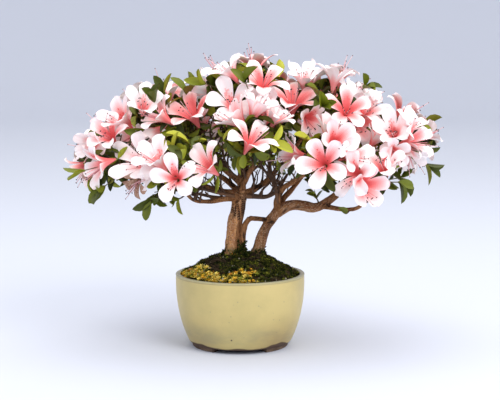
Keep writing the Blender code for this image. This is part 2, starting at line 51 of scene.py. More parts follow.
RIM_RADIUS, FOOT_RADIUS, POT_HEIGHT = 75.0, 56.0, 85.0
POT_WALL, POT_BELLY, POT_FLOOR, DRAIN_RADIUS, FOOT_HEIGHT = 5.5, 1.75, 9.0, 7.0, 4.0
POT_FULLNESS, FOOT_RING, FOOT_ROUNDING, FLOOR_ROUNDING = 3.0, 8.0, 1.2, 3.0
OUTSIDE_HEIGHTS = (5.0, 7, 9.5, 13, 18, 24, 31, 39, 47, 55, 63, 70, 76, 80.5, 82.3)
INSIDE_HEIGHTS = (76, 60, 42, 26, 14)
# The lip as (radius, height), from the groove under it, over the top and down inside.
LIP = ((74.8, 82.7), (75.1, 83.1), (75.5, 83.5), (75.5, 84.1), (75.0, 84.7), (73.9, 85.0),
       (71.4, 85.0), (70.2, 84.7), (69.6, 84.0), (69.5, 83.0))
RINGS = 96
KHAKI = (0.53, 0.43, 0.175, 1)
PALE_KHAKI = (0.60, 0.48, 0.195, 1)
POOLED_GLAZE = (0.43, 0.365, 0.175, 1)
THIN_GLAZE = (0.24, 0.21, 0.15, 1)
LIP_GLAZE = (0.36, 0.36, 0.23, 1)
BROWN_GLAZE_AND_SHADE = (0.17, 0.06, 0.01, 1)
BARE_CLAY = (0.085, 0.05, 0.032, 1)
GLAZED, UNGLAZED = 0.42, 0.85
# Where each tone of the glaze sets in and where it is full, in metres.
POOL_FROM, POOL_TO = (0.008, 0.014), (0.036, 0.022)
GROOVE_FROM, GROOVE_TO = (0.0818, 0.0825), (0.0836, 0.0829)
LIP_FROM, LIP_TOP_FROM, BARE_BELOW = (0.0834, 0.0840), (0.0846, 0.0850), (0.0112, 0.0098)
PIT_SIDEWAYS, PIT_HEIGHT, PIT_SIZE = -9.4, 18, (0.0013, 0.0007)
# Where the glaze stops short of the foot, at the front right and a little at the front left, and
# by how much. Round each gap the glaze darkens to a warm brown: partly thin glaze, partly
# painted shade and painted warm bounce light on the pot's lower sides.
GLAZE_GAPS = ((43, -43, 4.2), (-48, -38, 2.2))
GAP_HEIGHT, GAP_REACH, BROWN_AND_SHADE_REACH, BROWNING_AND_SHADE = 6, (0.032, 0.008), (0.046, 0.010), 0.085


def wall_radius(height):
    inward = (1 - height / POT_HEIGHT) ** POT_BELLY
    return RIM_RADIUS - (RIM_RADIUS - FOOT_RADIUS) * inward


def outer_radius(height):
    """The outside bellies out a little further than the inside."""
    return wall_radius(height) + POT_FULLNESS * math.sin(math.pi * (height / POT_HEIGHT) ** 0.65)


def turn_on_axis(name, outline):
    """A ring on the pot's axis, extruded from point to point of a (radius, height) outline."""
    bpy.ops.object.select_all(action="DESELECT")
    radius, height = outline[0]
    bpy.ops.mesh.primitive_circle_add(vertices=RINGS, radius=radius * MM,
                                      location=POT_AXIS + Vector((0, 0, height * MM)))
    piece = bpy.context.object
    piece.name = name
    bpy.ops.object.mode_set(mode="EDIT")
    bpy.ops.mesh.select_all(action="SELECT")
    for (r0, z0), (r1, z1) in zip(outline, outline[1:]):
        bpy.ops.mesh.extrude_region_move(TRANSFORM_OT_translate={"value": (0, 0, (z1 - z0) * MM)})
        middle = POT_AXIS + Vector((0, 0, z1 * MM))
        bpy.ops.transform.resize(value=(r1 / r0, r1 / r0, 1), center_override=middle)
    return piece


def close_piece(piece, angle):
    """Leaves edit mode with doubles merged and faces outward, and puts the place in the mesh."""
    bpy.ops.mesh.select_all(action="SELECT")
    bpy.ops.mesh.remove_doubles(threshold=0.00002)
    bpy.ops.mesh.normals_make_consistent(inside=False)
    bpy.ops.object.mode_set(mode="OBJECT")
    bpy.ops.object.transform_apply(location=True, rotation=True, scale=True)
    bpy.ops.object.shade_smooth_by_angle(angle=math.radians(angle))


def apply_modifier(piece, kind, **settings):
    modifier = piece.modifiers.new(kind.lower(), kind)
    for key, value in settings.items():
        setattr(modifier, key, value)
    bpy.context.view_layer.objects.active = piece
    bpy.ops.object.modifier_apply(modifier=modifier.name)


def clouds(name, size, depth=2):
    texture = bpy.data.textures.new(name, "CLOUDS")
    texture.noise_scale = size
    texture.noise_depth = depth
    return texture


under = (DRAIN_RADIUS, FOOT_RADIUS - FOOT_RING, FOOT_RADIUS - FOOT_ROUNDING)
outline = [(radius, FOOT_HEIGHT) for radius in under]
outline += [(outer_radius(z), z) for z in OUTSIDE_HEIGHTS]
outline += LIP
outline += [(wall_radius(z) - POT_WALL, z) for z in INSIDE_HEIGHTS]
outline += [(wall_radius(POT_FLOOR) - POT_WALL - FLOOR_ROUNDING, POT_FLOOR), (DRAIN_RADIUS, POT_FLOOR),
            (DRAIN_RADIUS, FOOT_HEIGHT)]
pot = turn_on_axis("glazed_pot", outline)
close_piece(pot, 40)
apply_modifier(pot, "SUBSURF", levels=1, render_levels=1)
apply_modifier(pot, "DISPLACE", texture=clouds("throwing_marks", 0.045), strength=0.0007)


def put(tree, kind, inputs=(), **settings):
    """Adds a node, sets it up, and fills or links its inputs."""
    node = tree.nodes.new(kind)
    for key, value in settings.items():
        setattr(node, key, value)
    for key, value in dict(inputs).items():
        if isinstance(value, bpy.types.NodeSocket):
            tree.links.new(value, node.inputs[key])
        else:
            node.inputs[key].default_value = value
    return node


def mixed(tree, share, first, second):
    return put(tree, "ShaderNodeMix", {0: share, 6: first, 7: second}, data_type="RGBA").outputs[2]


def ramped(tree, value, low, high):
    """0 below low, 1 above high; low may be the larger, which turns the ramp round."""
    return put(tree, "ShaderNodeMapRange", {0: value, 1: low, 2: high}).outputs[0]


def multiplied(tree, first, second):
    return put(tree, "ShaderNodeMath", {0: first, 1: second}, operation="MULTIPLY").outputs[0]


def multiplied_and_added(tree, first, second, third):
    return put(tree, "ShaderNodeMath", {0: first, 1: second, 2: third}, operation="MULTIPLY_ADD").outputs[0]


def distance_from(tree, place, spot):
    return put(tree, "ShaderNodeVectorMath", {0: place, 1: spot}, operation="DISTANCE").outputs["Value"]


def new_effect(name, values, output, kind):
    """An empty shader group with a Vector and named values going in, and one output."""
    group = bpy.data.node_groups.new(name, "ShaderNodeTree")
    group.interface.new_socket("Vector", in_out="INPUT", socket_type="NodeSocketVector")
    for value in values:
        group.interface.new_socket(value, in_out="INPUT", socket_type="NodeSocketFloat")
    group.interface.new_socket(output, in_out="OUTPUT", socket_type=kind)
    return group, group.nodes.new("NodeGroupInput"), group.nodes.new("NodeGroupOutput")


cloud_effect, entry, leave = new_effect("cloud_mask", ("Scale", "Low", "High"), "Mask", "NodeSocketFloat")
pattern = put(cloud_effect, "ShaderNodeTexNoise", {"Vector": entry.outputs["Vector"],
                                                   "Scale": entry.outputs["Scale"],
                                                   "Detail": 4.0, "Roughness": 0.6})
shown = ramped(cloud_effect, pattern.outputs["Fac"], entry.outputs["Low"], entry.outputs["High"])
cloud_effect.links.new(shown, leave.inputs["Mask"])

fleck_effect, entry, leave = new_effect("fleck_mask", ("Scale", "Size"), "Mask", "NodeSocketFloat")
cells = put(fleck_effect, "ShaderNodeTexVoronoi", {"Vector": entry.outputs["Vector"],
                                                   "Scale": entry.outputs["Scale"]})
shown = ramped(fleck_effect, cells.outputs["Distance"], entry.outputs["Size"], 0.0)
fleck_effect.links.new(shown, leave.inputs["Mask"])


def mask(tree, effect, vector, *values):
    """The mask that an effect gives, with its values in the order of its inputs."""
    node = put(tree, "ShaderNodeGroup", node_tree=effect)
    tree.links.new(vector, node.inputs["Vector"])
    for key, value in enumerate(values, 1):
        node.inputs[key].default_value = value
    return node.outputs["Mask"]


def cloudy(tree, vector, scale, low, high):
    """Soft clouds: 0 below low, 1 above high."""
    return mask(tree, cloud_effect, vector, scale, low, high)


def flecked(tree, vector, scale, size):
    """Round flecks that fade out at their edge."""
    return mask(tree, fleck_effect, vector, scale, size)


def new_finish(name, roughness, **sockets):
    """A material with its tree and its Principled shader, and values on the shader's own sockets."""
    material = bpy.data.materials.new(name)
    material.use_nodes = True
    shader = material.node_tree.nodes["Principled BSDF"]
    for key, value in {"Roughness": roughness, **sockets}.items():
        shader.inputs[key.replace("_", " ")].default_value = value
    return material, material.node_tree, shader


def own_place(tree):
    """The piece's own coordinates, and the height in them."""
    place = put(tree, "ShaderNodeTexCoord").outputs["Object"]
    return place, put(tree, "ShaderNodeSeparateXYZ", {0: place}).outputs["Z"]


def add_bump(tree, shader, height, strength, distance):
    bump = put(tree, "ShaderNodeBump", {"Strength": strength, "Distance": distance, "Height": height})
    tree.links.new(bump.outputs["Normal"], shader.inputs["Normal"])


glaze, tree, shader = new_finish("ash_glaze", GLAZED, Coat_Weight=0.08, Specular_IOR_Level=0.35,
                                 Coat_Roughness=0.2)
place, height = own_place(tree)
flattened = put(tree, "ShaderNodeMapping", {"Vector": place, "Scale": (1.0, 1.0, 2.4)}).outputs["Vector"]
pooled = multiplied(tree, ramped(tree, height, *POOL_FROM), ramped(tree, height, *POOL_TO))
pooled = multiplied(tree, pooled, cloudy(tree, flattened, 26, 0.36, 0.66))
groove = multiplied(tree, ramped(tree, height, *GROOVE_FROM), ramped(tree, height, *GROOVE_TO))
pit_forward = math.sqrt(outer_radius(PIT_HEIGHT) ** 2 - PIT_SIDEWAYS ** 2)
pit = POT_AXIS + Vector((PIT_SIDEWAYS, -pit_forward, PIT_HEIGHT)) * MM
colour = mixed(tree, cloudy(tree, place, 17, 0.40, 0.60), KHAKI, PALE_KHAKI)
colour = mixed(tree, pooled, colour, POOLED_GLAZE)
colour = mixed(tree, multiplied(tree, groove, 0.45), colour, THIN_GLAZE)
colour = mixed(tree, multiplied(tree, ramped(tree, height, *LIP_FROM), 0.75), colour, LIP_GLAZE)
colour = mixed(tree, multiplied(tree, ramped(tree, height, *LIP_TOP_FROM), 0.35), colour, THIN_GLAZE)
colour = mixed(tree, ramped(tree, distance_from(tree, place, pit), *PIT_SIZE), colour, BARE_CLAY)
colour = mixed(tree, multiplied(tree, flecked(tree, place, 95, 0.10), 0.7), colour, THIN_GLAZE)
wavy = put(tree, "ShaderNodeTexNoise", {"Vector": place, "Scale": 30.0, "Detail": 2.0}).outputs["Fac"]
edge = multiplied_and_added(tree, wavy, 0.009, height)
for x, y, shortfall in GLAZE_GAPS:
    away = distance_from(tree, place, POT_AXIS + Vector((x, y, GAP_HEIGHT)) * MM)
    # Warm brown round the gap: partly thin glaze, partly painted shade and painted bounce light.
    brown_and_shade = multiplied(tree, ramped(tree, away, *BROWN_AND_SHADE_REACH), BROWNING_AND_SHADE * shortfall)
    colour = mixed(tree, brown_and_shade, colour, BROWN_GLAZE_AND_SHADE)
    edge = multiplied_and_added(tree, ramped(tree, away, *GAP_REACH), -shortfall * MM, edge)
bare = ramped(tree, edge, *BARE_BELOW)
tree.links.new(mixed(tree, bare, colour, BARE_CLAY), shader.inputs["Base Color"])
roughness = put(tree, "ShaderNodeMapRange", {0: bare, 3: GLAZED, 4: UNGLAZED})
tree.links.new(roughness.outputs[0], shader.inputs["Roughness"])
grain = put(tree, "ShaderNodeTexNoise", {"Vector": place, "Scale": 420.0, "Detail": 3.0}).outputs["Fac"]
add_bump(tree, shader, grain, 0.12, 0.0006)
pot.data.materials.append(glaze)
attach(pot, "root")
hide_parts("pot")


# Pot feet
# Three short curved blocks of the same clay, cut from the foot ring and left unglazed, clouded
# with smeared clay and flecked with dark ash.
FOOT_ARC, FOOT_WIDTH, FOOT_COUNT = math.radians(54), 10.0, 3
SMEARED_CLAY, DARK_ASH = (0.17, 0.11, 0.07, 1), (0.03, 0.02, 0.015, 1)


def around(angle, radius=1.0, height=0.0):
    """A point at an angle, a radius and a height round the upright axis."""
    return Vector((radius * math.cos(angle), radius * math.sin(angle), height))


bpy.ops.object.select_all(action="DESELECT")
bpy.ops.object.add(type="MESH", location=POT_AXIS)
feet = bpy.context.object
feet.name = "pot_feet"
bpy.ops.object.mode_set(mode="EDIT")
for index in range(FOOT_COUNT):
    start = -math.pi / 2 + (index + 0.5) * 2 * math.pi / FOOT_COUNT - FOOT_ARC / 2
    spot = POT_AXIS + around(start, FOOT_RADIUS - FOOT_WIDTH / 2, POT_FLOOR / 2 - 1) * MM
    bpy.ops.mesh.select_all(action="DESELECT")
    bpy.ops.mesh.primitive_plane_add(size=1, location=spot, rotation=(math.pi / 2, 0, start))
    along = around(start)
    axes = Matrix((along, Vector((-along.y, along.x, 0)), Vector((0, 0, 1)))).transposed()
    bpy.ops.transform.resize(value=(FOOT_WIDTH * MM, 1, (POT_FLOOR - 2) * MM), orient_type="GLOBAL",
                             orient_matrix=axes, orient_matrix_type="GLOBAL", center_override=spot)
    bpy.ops.mesh.spin(steps=14, angle=-FOOT_ARC, center=POT_AXIS, axis=(0, 0, 1))
close_piece(feet, 40)
apply_modifier(feet, "BEVEL", width=0.0009, segments=3, limit_method="ANGLE")
clay, tree, shader = new_finish("bare_stoneware", UNGLAZED)
place, _ = own_place(tree)
clay_tone = mixed(tree, cloudy(tree, place, 90, 0.35, 0.65), BARE_CLAY, SMEARED_CLAY)
clay_tone = mixed(tree, flecked(tree, place, 420, 0.25), clay_tone, DARK_ASH)
tree.links.new(clay_tone, shader.inputs["Base Color"])
feet.data.materials.append(clay)
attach(feet, "root")
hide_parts("pot")


# Root ball
# The soil that fills the pot, mounded up to the foot of the trunks. It is dark and crumbly
# where the moss that grows over it is thin.
GROUND, MOUND_TOP_RADIUS, MOUND_EDGE, MOUND_SLOPE, FIT = 102.5, 35.0, 82.5, 0.9, 0.3
SOIL_EDGE = RIM_RADIUS - POT_WALL - FIT
SOIL_RINGS = (67, 64, 60, 56, 52, 48, 44, 40, 35, 30, 24, 18, 12, 6)
# The middle and the radius of each trunk's foot. The soil is drawn up in a collar round them.
TRUNK_FEET = ((-10, 0, 10.5), (18.3, -1, 8.5), (2.5, -6, 4.5))
COLLAR_RISE, COLLAR_REACH, COLLAR_FROM = 6.0, 4.5, GROUND - 12
BLACK_SOIL, BROWN_SOIL = (0.014, 0.010, 0.006, 1), (0.055, 0.034, 0.018, 1)
GREEN_SOIL = (0.02, 0.028, 0.008, 1)


def mound_height(radius):
    share = min(1.0, (SOIL_EDGE - radius) / (SOIL_EDGE - MOUND_TOP_RADIUS))
    return MOUND_EDGE + (GROUND - FIT - MOUND_EDGE) * share ** MOUND_SLOPE


outline = [(2.0, POT_FLOOR + FIT), (wall_radius(POT_FLOOR) - POT_WALL - FIT - 4, POT_FLOOR + FIT)]
outline += [(wall_radius(z) - POT_WALL - FIT, z) for z in reversed(INSIDE_HEIGHTS[1:])]
outline += [(radius, mound_height(radius)) for radius in (SOIL_EDGE, *SOIL_RINGS)]
soil = turn_on_axis("root_ball", outline)
bpy.ops.mesh.merge(type="CENTER")
bpy.ops.mesh.select_all(action="DESELECT")
bpy.ops.mesh.select_non_manifold()
bpy.ops.mesh.fill()
close_piece(soil, 60)
apply_modifier(soil, "SUBSURF", levels=2, render_levels=2)
for vertex in soil.data.vertices:
    spot = (vertex.co - POT_AXIS) / MM
    if spot.z > COLLAR_FROM:
        near = min((Vector((x, y)) - spot.xy).length - radius for x, y, radius in TRUNK_FEET)
        vertex.co.z += COLLAR_RISE * math.exp(-(max(near, 0) / COLLAR_REACH) ** 2) * MM
open_soil = soil.vertex_groups.new(name="open_soil")
open_soil.add([v.index for v in soil.data.vertices if v.co.z > (MOUND_EDGE + 0.5) * MM], 1.0, "REPLACE")
for name, size, detail, strength, level in (("soil_mounds", 0.020, 1, 0.0065, 0.58),
                                            ("soil_lumps", 0.008, 3, 0.0035, 0.60)):
    apply_modifier(soil, "DISPLACE", texture=clouds(name, size, detail), strength=strength, mid_level=level,
                   vertex_group="open_soil")
earth, tree, shader = new_finish("dark_soil", 0.95, Specular_IOR_Level=0.1)
place, _ = own_place(tree)
soil_tone = mixed(tree, cloudy(tree, place, 120, 0.35, 0.65), BLACK_SOIL, BROWN_SOIL)
soil_tone = mixed(tree, flecked(tree, place, 520, 0.3), soil_tone, GREEN_SOIL)
tree.links.new(soil_tone, shader.inputs["Base Color"])
crumbs = put(tree, "ShaderNodeTexVoronoi", {"Vector": place, "Scale": 600.0}).outputs["Distance"]
add_bump(tree, shader, crumbs, 0.8, 0.001)
soil.data.materials.append(earth)
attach(soil, "root")
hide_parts("mossy_soil")


# Trunks and boughs
# Two trunks with flared feet, the thin stem that arches from one to the other, and the boughs,
# grown together at their forks. The bark is thin and flaky, tan on the trunks, dark higher up.
HOME = Vector((19.6, 13.5, 0.0))
BOUGH_FLARE, FLARE_REACH, CROOK, CROOK_SCALE, KNUCKLES = 0.25, 0.12, 2.2, 0.045, 0.11
CROOK_SHIFTS = ((0, 0, 0), (31, 7, 13), (5, 41, 23))
UNDER_THE_BARK, BARK_GRID = 0.97, 0.00072
TRUNKS = {
    "trunk_left": {"path": ((-10, 0, GROUND), (-8, 1, 130), (-2.5, 0, 160), (1, 0, 179)),
                   "radii": (8.5, 8.8), "flare": 0.4},
    "trunk_right": {"path": ((18.3, -1, GROUND), (27.4, 0, 130), (36.6, 0, 147), (45, 0, 159)),
                    "radii": (6.6, 6.0), "flare": 0.45},
    "arch_stem": {"path": ((2.5, -6, GROUND), (2.7, -6, 126), (5, -5.5, 139), (11.2, -4, 149.5)),
                  "radii": (4.2, 3.2), "flare": 0.2},
    "arch_bridge": {"path": ((10.8, -4, 149.5), (18, -3, 147.5), (28, -2, 147), (39, 0, 146)),
                    "radii": (3.1, 2.9), "flare": 0.0},
}
BOUGHS = {
    "bough_right_low": {"path": ((42, 0, 155), (57, -1, 164), (75, -3, 164), (92, -6, 163), (112, -6, 178),
                                 (134, -4, 205), (150, -4, 220)),
                        "radii": (6.1, 6.3, 6.1, 5.8, 4.2, 3.2, 2.6), "flare": 0.1},
    "bough_leader": {"path": ((0, 0, 174), (2, 3, 200), (-5, 5, 228), (2, 2, 262)), "radii": (5.4, 2.4)},
    "bough_left_low": {"path": ((0, 0, 174), (-14, -5, 172), (-37, -18, 170), (-53, -31, 174),
                                (-62, -44, 184)),
                       "radii": (3.8, 1.5)},
    "bough_left_tip": {"path": ((0, 0, 176), (-22, 2, 180), (-48, 4, 188), (-82, 0, 198), (-108, -6, 207)),
                       "radii": (4.6, 2.2)},
    "bough_top_right": {"path": ((0, 0, 175), (14, 3, 181), (28, 5, 190), (50, 8, 214), (78, 5, 250)),
                        "radii": (4.6, 2.2)},
    "bough_left_top": {"path": ((1, 2, 190), (-22, 6, 208), (-48, 6, 228), (-68, 3, 243)),
                       "radii": (3.8, 2.0)},
    "bough_right_front": {"path": ((44, 0, 156), (44, -3, 172), (52, -12, 188), (68, -34, 200),
                                   (78, -46, 207)),
                          "radii": (4.2, 2.2)},
    "bough_right_tip": {"path": ((93, -4, 164), (112, -16, 163), (130, -28, 163), (143, -34, 172)),
                        "radii": (4.0, 2.7, 2.4, 2.0), "flare": 0.0},
    "bough_centre_front": {"path": ((1, 0, 184), (8, -14, 196), (16, -36, 214), (18, -52, 230)),
                           "radii": (3.4, 2.0)},
    "bough_back_left": {"path": ((0, 0, 178), (-16, 20, 190), (-42, 42, 206), (-60, 54, 220)),
                        "radii": (3.8, 2.0)},
    "bough_back_centre": {"path": ((0, 2, 182), (6, 24, 196), (9, 54, 216), (10, 68, 236)),
                          "radii": (3.8, 2.0)},
    "bough_back_right": {"path": ((45, 1, 157), (52, 14, 172), (74, 38, 194), (94, 56, 214)),
                         "radii": (4.0, 2.0)},
}


def catmull_rom(points, per_span):
    """A smooth path through the points."""
    points = [Vector(point) for point in points]
    padded = [2 * points[0] - points[1], *points, 2 * points[-1] - points[-2]]
    path = []
    for i in range(1, len(padded) - 2):
        p0, p1, p2, p3 = padded[i - 1:i + 3]
        for step in range(per_span):
            t = step / per_span
            path.append(0.5 * (2 * p1 + (p2 - p0) * t + (2 * p0 - 5 * p1 + 4 * p2 - p3) * t ** 2
                               + (3 * p1 - p0 - 3 * p2 + p3) * t ** 3))
    return [*path, points[-1]]


def limb_radius(limb, t):
    """Taper, flared foot and slight knuckles."""
    radii = limb["radii"]
    thickness = np.interp(t * (len(radii) - 1), range(len(radii)), radii)
    flare = 1 + limb.get("flare", BOUGH_FLARE) * math.exp(-t / FLARE_REACH)
    return thickness * flare * (1 + KNUCKLES * noise.noise(Vector((t * 7, radii[0] * 9, radii[-1] * 5))))


def crooked(point, t):
    """Small bends, which die out at both ends of a limb."""
    bend = Vector([noise.noise(point * CROOK_SCALE + Vector(shift)) for shift in CROOK_SHIFTS])
    return point + bend * CROOK * math.sin(math.pi * t)


limb_line = []
wood_parts = []
for name, limb in {**TRUNKS, **BOUGHS}.items():
    smooth = catmull_rom(limb["path"], 10)
    path = [crooked(point, i / 10 / (len(limb["path"]) - 1)) for i, point in enumerate(smooth)]
    curve = bpy.data.curves.new(name, "CURVE")
    curve.dimensions = "3D"
    curve.bevel_depth = MM
    curve.bevel_resolution = 6
    curve.use_fill_caps = True
    spline = curve.splines.new("POLY")
    spline.points.add(len(path) - 1)
    travelled = 0.0
    for i, point in enumerate(path):
        t = i / (len(path) - 1)
        radius = limb_radius(limb, t) * UNDER_THE_BARK
        spline.points[i].co = (*((point - HOME) * MM), 1)
        spline.points[i].radius = radius
        if i:
            travelled += (point - path[i - 1]).length
        limb_line.append((point, radius, travelled))
    part = bpy.data.objects.new(name, curve)
    bpy.context.scene.collection.objects.link(part)
    wood_parts.append(part)
bpy.ops.object.select_all(action="DESELECT")
for part in wood_parts:
    part.select_set(True)
bpy.context.view_layer.objects.active = wood_parts[0]
bpy.ops.object.convert(target="MESH")
bpy.ops.object.join()
wood = bpy.context.object
wood.name = "bark"
apply_modifier(wood, "REMESH", mode="VOXEL", voxel_size=BARK_GRID)
apply_modifier(wood, "SMOOTH", factor=0.5, iterations=4)

# The relief: long flakes and cracks that follow each limb, shallower where it is thin.
FLAKES, FLAKES_SHARE, FLAKES_LEVEL = 0.28, 0.055, 1.1
PLATES, PLATES_SHARE, SWELLING, SWELLING_SHARE = 0.55, 0.05, 0.07, 0.11
SLANT = Vector((0.31, 0.17, -0.23))
nearest_limb = KDTree(len(limb_line))
for i, (point, _, _) in enumerate(limb_line):
    nearest_limb.insert(point, i)
nearest_limb.balance()
mesh = wood.data
count = len(mesh.vertices)
normals = np.empty(count * 3, np.float32)
mesh.vertices.foreach_get("normal", normals)
normals = normals.reshape(-1, 3)
relief = np.empty(count, np.float32)
girth = np.empty(count, np.float32)
grain = np.empty((count, 3), np.float32)
for i, vertex in enumerate(mesh.vertices):
    point = vertex.co / MM + HOME
    middle, index, _ = nearest_limb.find(point)
    _, radius, travelled = limb_line[index]
    away = point - middle
    away += SLANT * travelled
    grain[i] = away
    girth[i] = radius
    flakes = noise.ridged_multi_fractal(away * FLAKES, 0.9, 2.1, 3, 1.0, 2.0)
    swelling = noise.noise(point * SWELLING)
    plates = noise.noise(away * PLATES)
    relief[i] = ((flakes - FLAKES_LEVEL) * FLAKES_SHARE * radius + plates * PLATES_SHARE * radius
                 + swelling * SWELLING_SHARE * radius)
raised = np.empty(count * 3, np.float32)
mesh.vertices.foreach_get("co", raised)
raised = raised.reshape(-1, 3) + normals * relief[:, None] * MM
mesh.vertices.foreach_set("co", raised.ravel())
mesh.attributes.new("grain", "FLOAT_VECTOR", "POINT").data.foreach_set("vector", grain.ravel())
mesh.attributes.new("relief", "FLOAT", "POINT").data.foreach_set("value", relief)
mesh.attributes.new("girth", "FLOAT", "POINT").data.foreach_set("value", girth)
mesh.update()
bpy.ops.object.shade_smooth()

# Each pair is a tone on the younger wood, then the same on the old wood of the left trunk.
FLAT_TAN = ((0.37, 0.165, 0.060, 1), (0.70, 0.350, 0.130, 1))
RED_TAN = ((0.21, 0.072, 0.026, 1), (0.42, 0.160, 0.060, 1))
PALE_FLAKE, DARK_FLAKE, CRACK_AND_SHADE = (0.60, 0.40, 0.25, 1), (0.20, 0.082, 0.036, 1), (0.06, 0.028, 0.014, 1)
HIGH_BROWN, HIGH_TAN, HIGH_CRACK_AND_SHADE = (0.165, 0.064, 0.023, 1), (0.40, 0.185, 0.075, 1), (0.03, 0.016, 0.01, 1)
MOSS_STAIN, MOSS_STAIN_BELOW = (0.045, 0.055, 0.012, 1), (0.122, 0.108)
OLD_WOOD_FROM, HIGH_WOOD_FROM = (6.8, 8.2), (5.8, 4.2)
bark, tree, shader = new_finish("flaky_bark", 0.9, Specular_IOR_Level=0.2)
place, height = own_place(tree)
along = put(tree, "ShaderNodeAttribute", attribute_name="grain").outputs["Vector"]
depth = put(tree, "ShaderNodeAttribute", attribute_name="relief").outputs["Fac"]
thickness = put(tree, "ShaderNodeAttribute", attribute_name="girth").outputs["Fac"]
oldest = ramped(tree, thickness, *OLD_WOOD_FROM)
flat_tan, red_tan = mixed(tree, oldest, *FLAT_TAN), mixed(tree, oldest, *RED_TAN)
tan = mixed(tree, cloudy(tree, along, 0.30, 0.40, 0.58), flat_tan, red_tan)
tan = mixed(tree, cloudy(tree, along, 0.9, 0.50, 0.62), tan, PALE_FLAKE)
tan = mixed(tree, cloudy(tree, along, 0.7, 0.62, 0.72), tan, DARK_FLAKE)
# Darker where the relief sinks: partly the dark bark in the cracks, partly painted shade in them.
tan = mixed(tree, ramped(tree, depth, -0.08, -0.55), tan, CRACK_AND_SHADE)
high = mixed(tree, cloudy(tree, along, 0.5, 0.38, 0.60), HIGH_BROWN, HIGH_TAN)
# On the thinner wood too the sunk relief is darkened: dark bark and painted shade.
high = mixed(tree, ramped(tree, depth, -0.02, -0.25), high, HIGH_CRACK_AND_SHADE)
bark_tone = mixed(tree, ramped(tree, thickness, *HIGH_WOOD_FROM), tan, high)
mossy = multiplied(tree, ramped(tree, height, *MOSS_STAIN_BELOW), cloudy(tree, place, 160, 0.38, 0.60))
tree.links.new(mixed(tree, mossy, bark_tone, MOSS_STAIN), shader.inputs["Base Color"])
fibres = put(tree, "ShaderNodeTexNoise", {"Vector": along, "Scale": 1.6, "Detail": 5.0, "Roughness": 0.7})
add_bump(tree, shader, fibres.outputs["Fac"], 0.85, 0.001)
wood.data.materials.append(bark)
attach(wood, "root")
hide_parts(*TRUNKS, *BOUGHS)


# Moss, golden moss and grit
# Low cushions of dark moss, a drift of golden moss at the front left, and crumbs of soil and
# pale grit. Each sprig is a few pointed leaves, pressed into the soil and round the trunks.
MOSS_SPRIGS, TRUNK_SPRIGS, STAR_SPRIGS, GRIT_CRUMBS = 8500, 1500, 480, 900
GOLDEN = math.pi * (3 - math.sqrt(5))
ABOVE_SOIL, MOSSY_TRUNK, ARCH_FOOT_RADIUS = 130, 20, 6.5
DRIFT_FROM, DRIFT_TO, DRIFT_RADIUS = -84, 22, 47
BARE_SPOT, BARE_SPOT_SIZE = (-38, -26), 420
# The finishes by number, from dark moss to pale grit, and which of them each thing may take.
MOSS_TONES = {
    "moss_black_green": (0.012, 0.020, 0.005),
    "moss_dark": (0.034, 0.048, 0.007),
    "moss_olive": (0.095, 0.092, 0.014),
    "moss_fresh": (0.24, 0.25, 0.028),
    "moss_gold": (0.77, 0.46, 0.035),
    "moss_straw": (0.88, 0.69, 0.15),
    "moss_rust": (0.48, 0.19, 0.025),
    "grit_brown": (0.070, 0.048, 0.028),
    "grit_pale": (0.55, 0.52, 0.38),
}
UNDER_GOLD, OPEN_SOIL, CUSHION = (0, 0, 0, 1, 1, 2, 3, 6), (0, 7, 7, 7), (0, 0, 0, 1, 1, 1, 2, 2, 2, 3)
STAR_PALETTES = ((4, 5, 5), (5, 5, 5), (4, 4, 5), (3, 5, 5), (2, 3, 3), (6, 4, 4), (4, 5, 8), (1, 2, 3))
ON_TRUNKS, GRIT = (0, 0, 1, 1, 2), (7, 7, 7, 2, 0, 8)


def plain(name, colour, roughness, **sockets):
    return new_finish(name, roughness, Base_Color=(*colour, 1), **sockets)[0]


class Heap:
    """Many small shapes gathered for one mesh. Each face keeps the number of its finish."""

    def __init__(self):
        self.points, self.corners, self.sides, self.slots = [], [], [], []
        self.count = 0

    def add(self, points, faces, slots):
        self.points.append(np.asarray(points, np.float32))
        self.count += len(points)
        self.add_faces(faces, slots, len(points))

    def add_faces(self, faces, slots, points):
        """Faces on the last few points; all of them have the same number of corners."""
        faces = np.asarray(faces)
        self.corners.append((faces + self.count - points).ravel())
        self.sides.append(np.full(len(faces), faces.shape[1]))
        self.slots.append(np.broadcast_to(slots, len(faces)))

    def add_blades(self, corners, slots):
        """Blades of four corners each, given in one row."""
        self.add([tuple(corner) for corner in corners], np.arange(len(corners)).reshape(-1, 4), slots)


def add_joined(name, heap, finishes, smooth=True):
    """One object from a heap drawn in millimetres from the middle of the pot's foot."""
    points = (np.concatenate(heap.points) - np.array(HOME)) * MM
    corners = np.concatenate(heap.corners)
    sides = np.concatenate(heap.sides)
    mesh = bpy.data.meshes.new(name)
    mesh.vertices.add(len(points))
    mesh.vertices.foreach_set("co", points.astype(np.float32).ravel())
    mesh.loops.add(len(corners))
    mesh.loops.foreach_set("vertex_index", corners.astype(np.int32))
    mesh.polygons.add(len(sides))
    mesh.polygons.foreach_set("loop_start", (np.cumsum(sides) - sides).astype(np.int32))
    mesh.polygons.foreach_set("material_index", np.concatenate(heap.slots).astype(np.int32))
    mesh.polygons.foreach_set("use_smooth", np.full(len(sides), smooth))
    mesh.update(calc_edges=True)
    mesh.validate()
    for finish in finishes:
        mesh.materials.append(finish)
    piece = bpy.data.objects.new(name, mesh)
    bpy.context.scene.collection.objects.link(piece)
    return piece


def tree_of_piece(piece):
    corners = [vertex.co / MM + HOME for vertex in piece.data.vertices]
    return BVHTree.FromPolygons(corners, [tuple(face.vertices) for face in piece.data.polygons])


def shaken(rng, size):
    """A random shift of up to the size in each direction."""
    return Vector([rng.uniform(-size, size) for _ in range(3)])


def on_soil(radius, angle):
    """The point and the normal of the soil below a place on the pot."""
    return soil_tree.ray_cast(around(angle, radius, ABOVE_SOIL), Vector((0, 0, -1)))[:2]


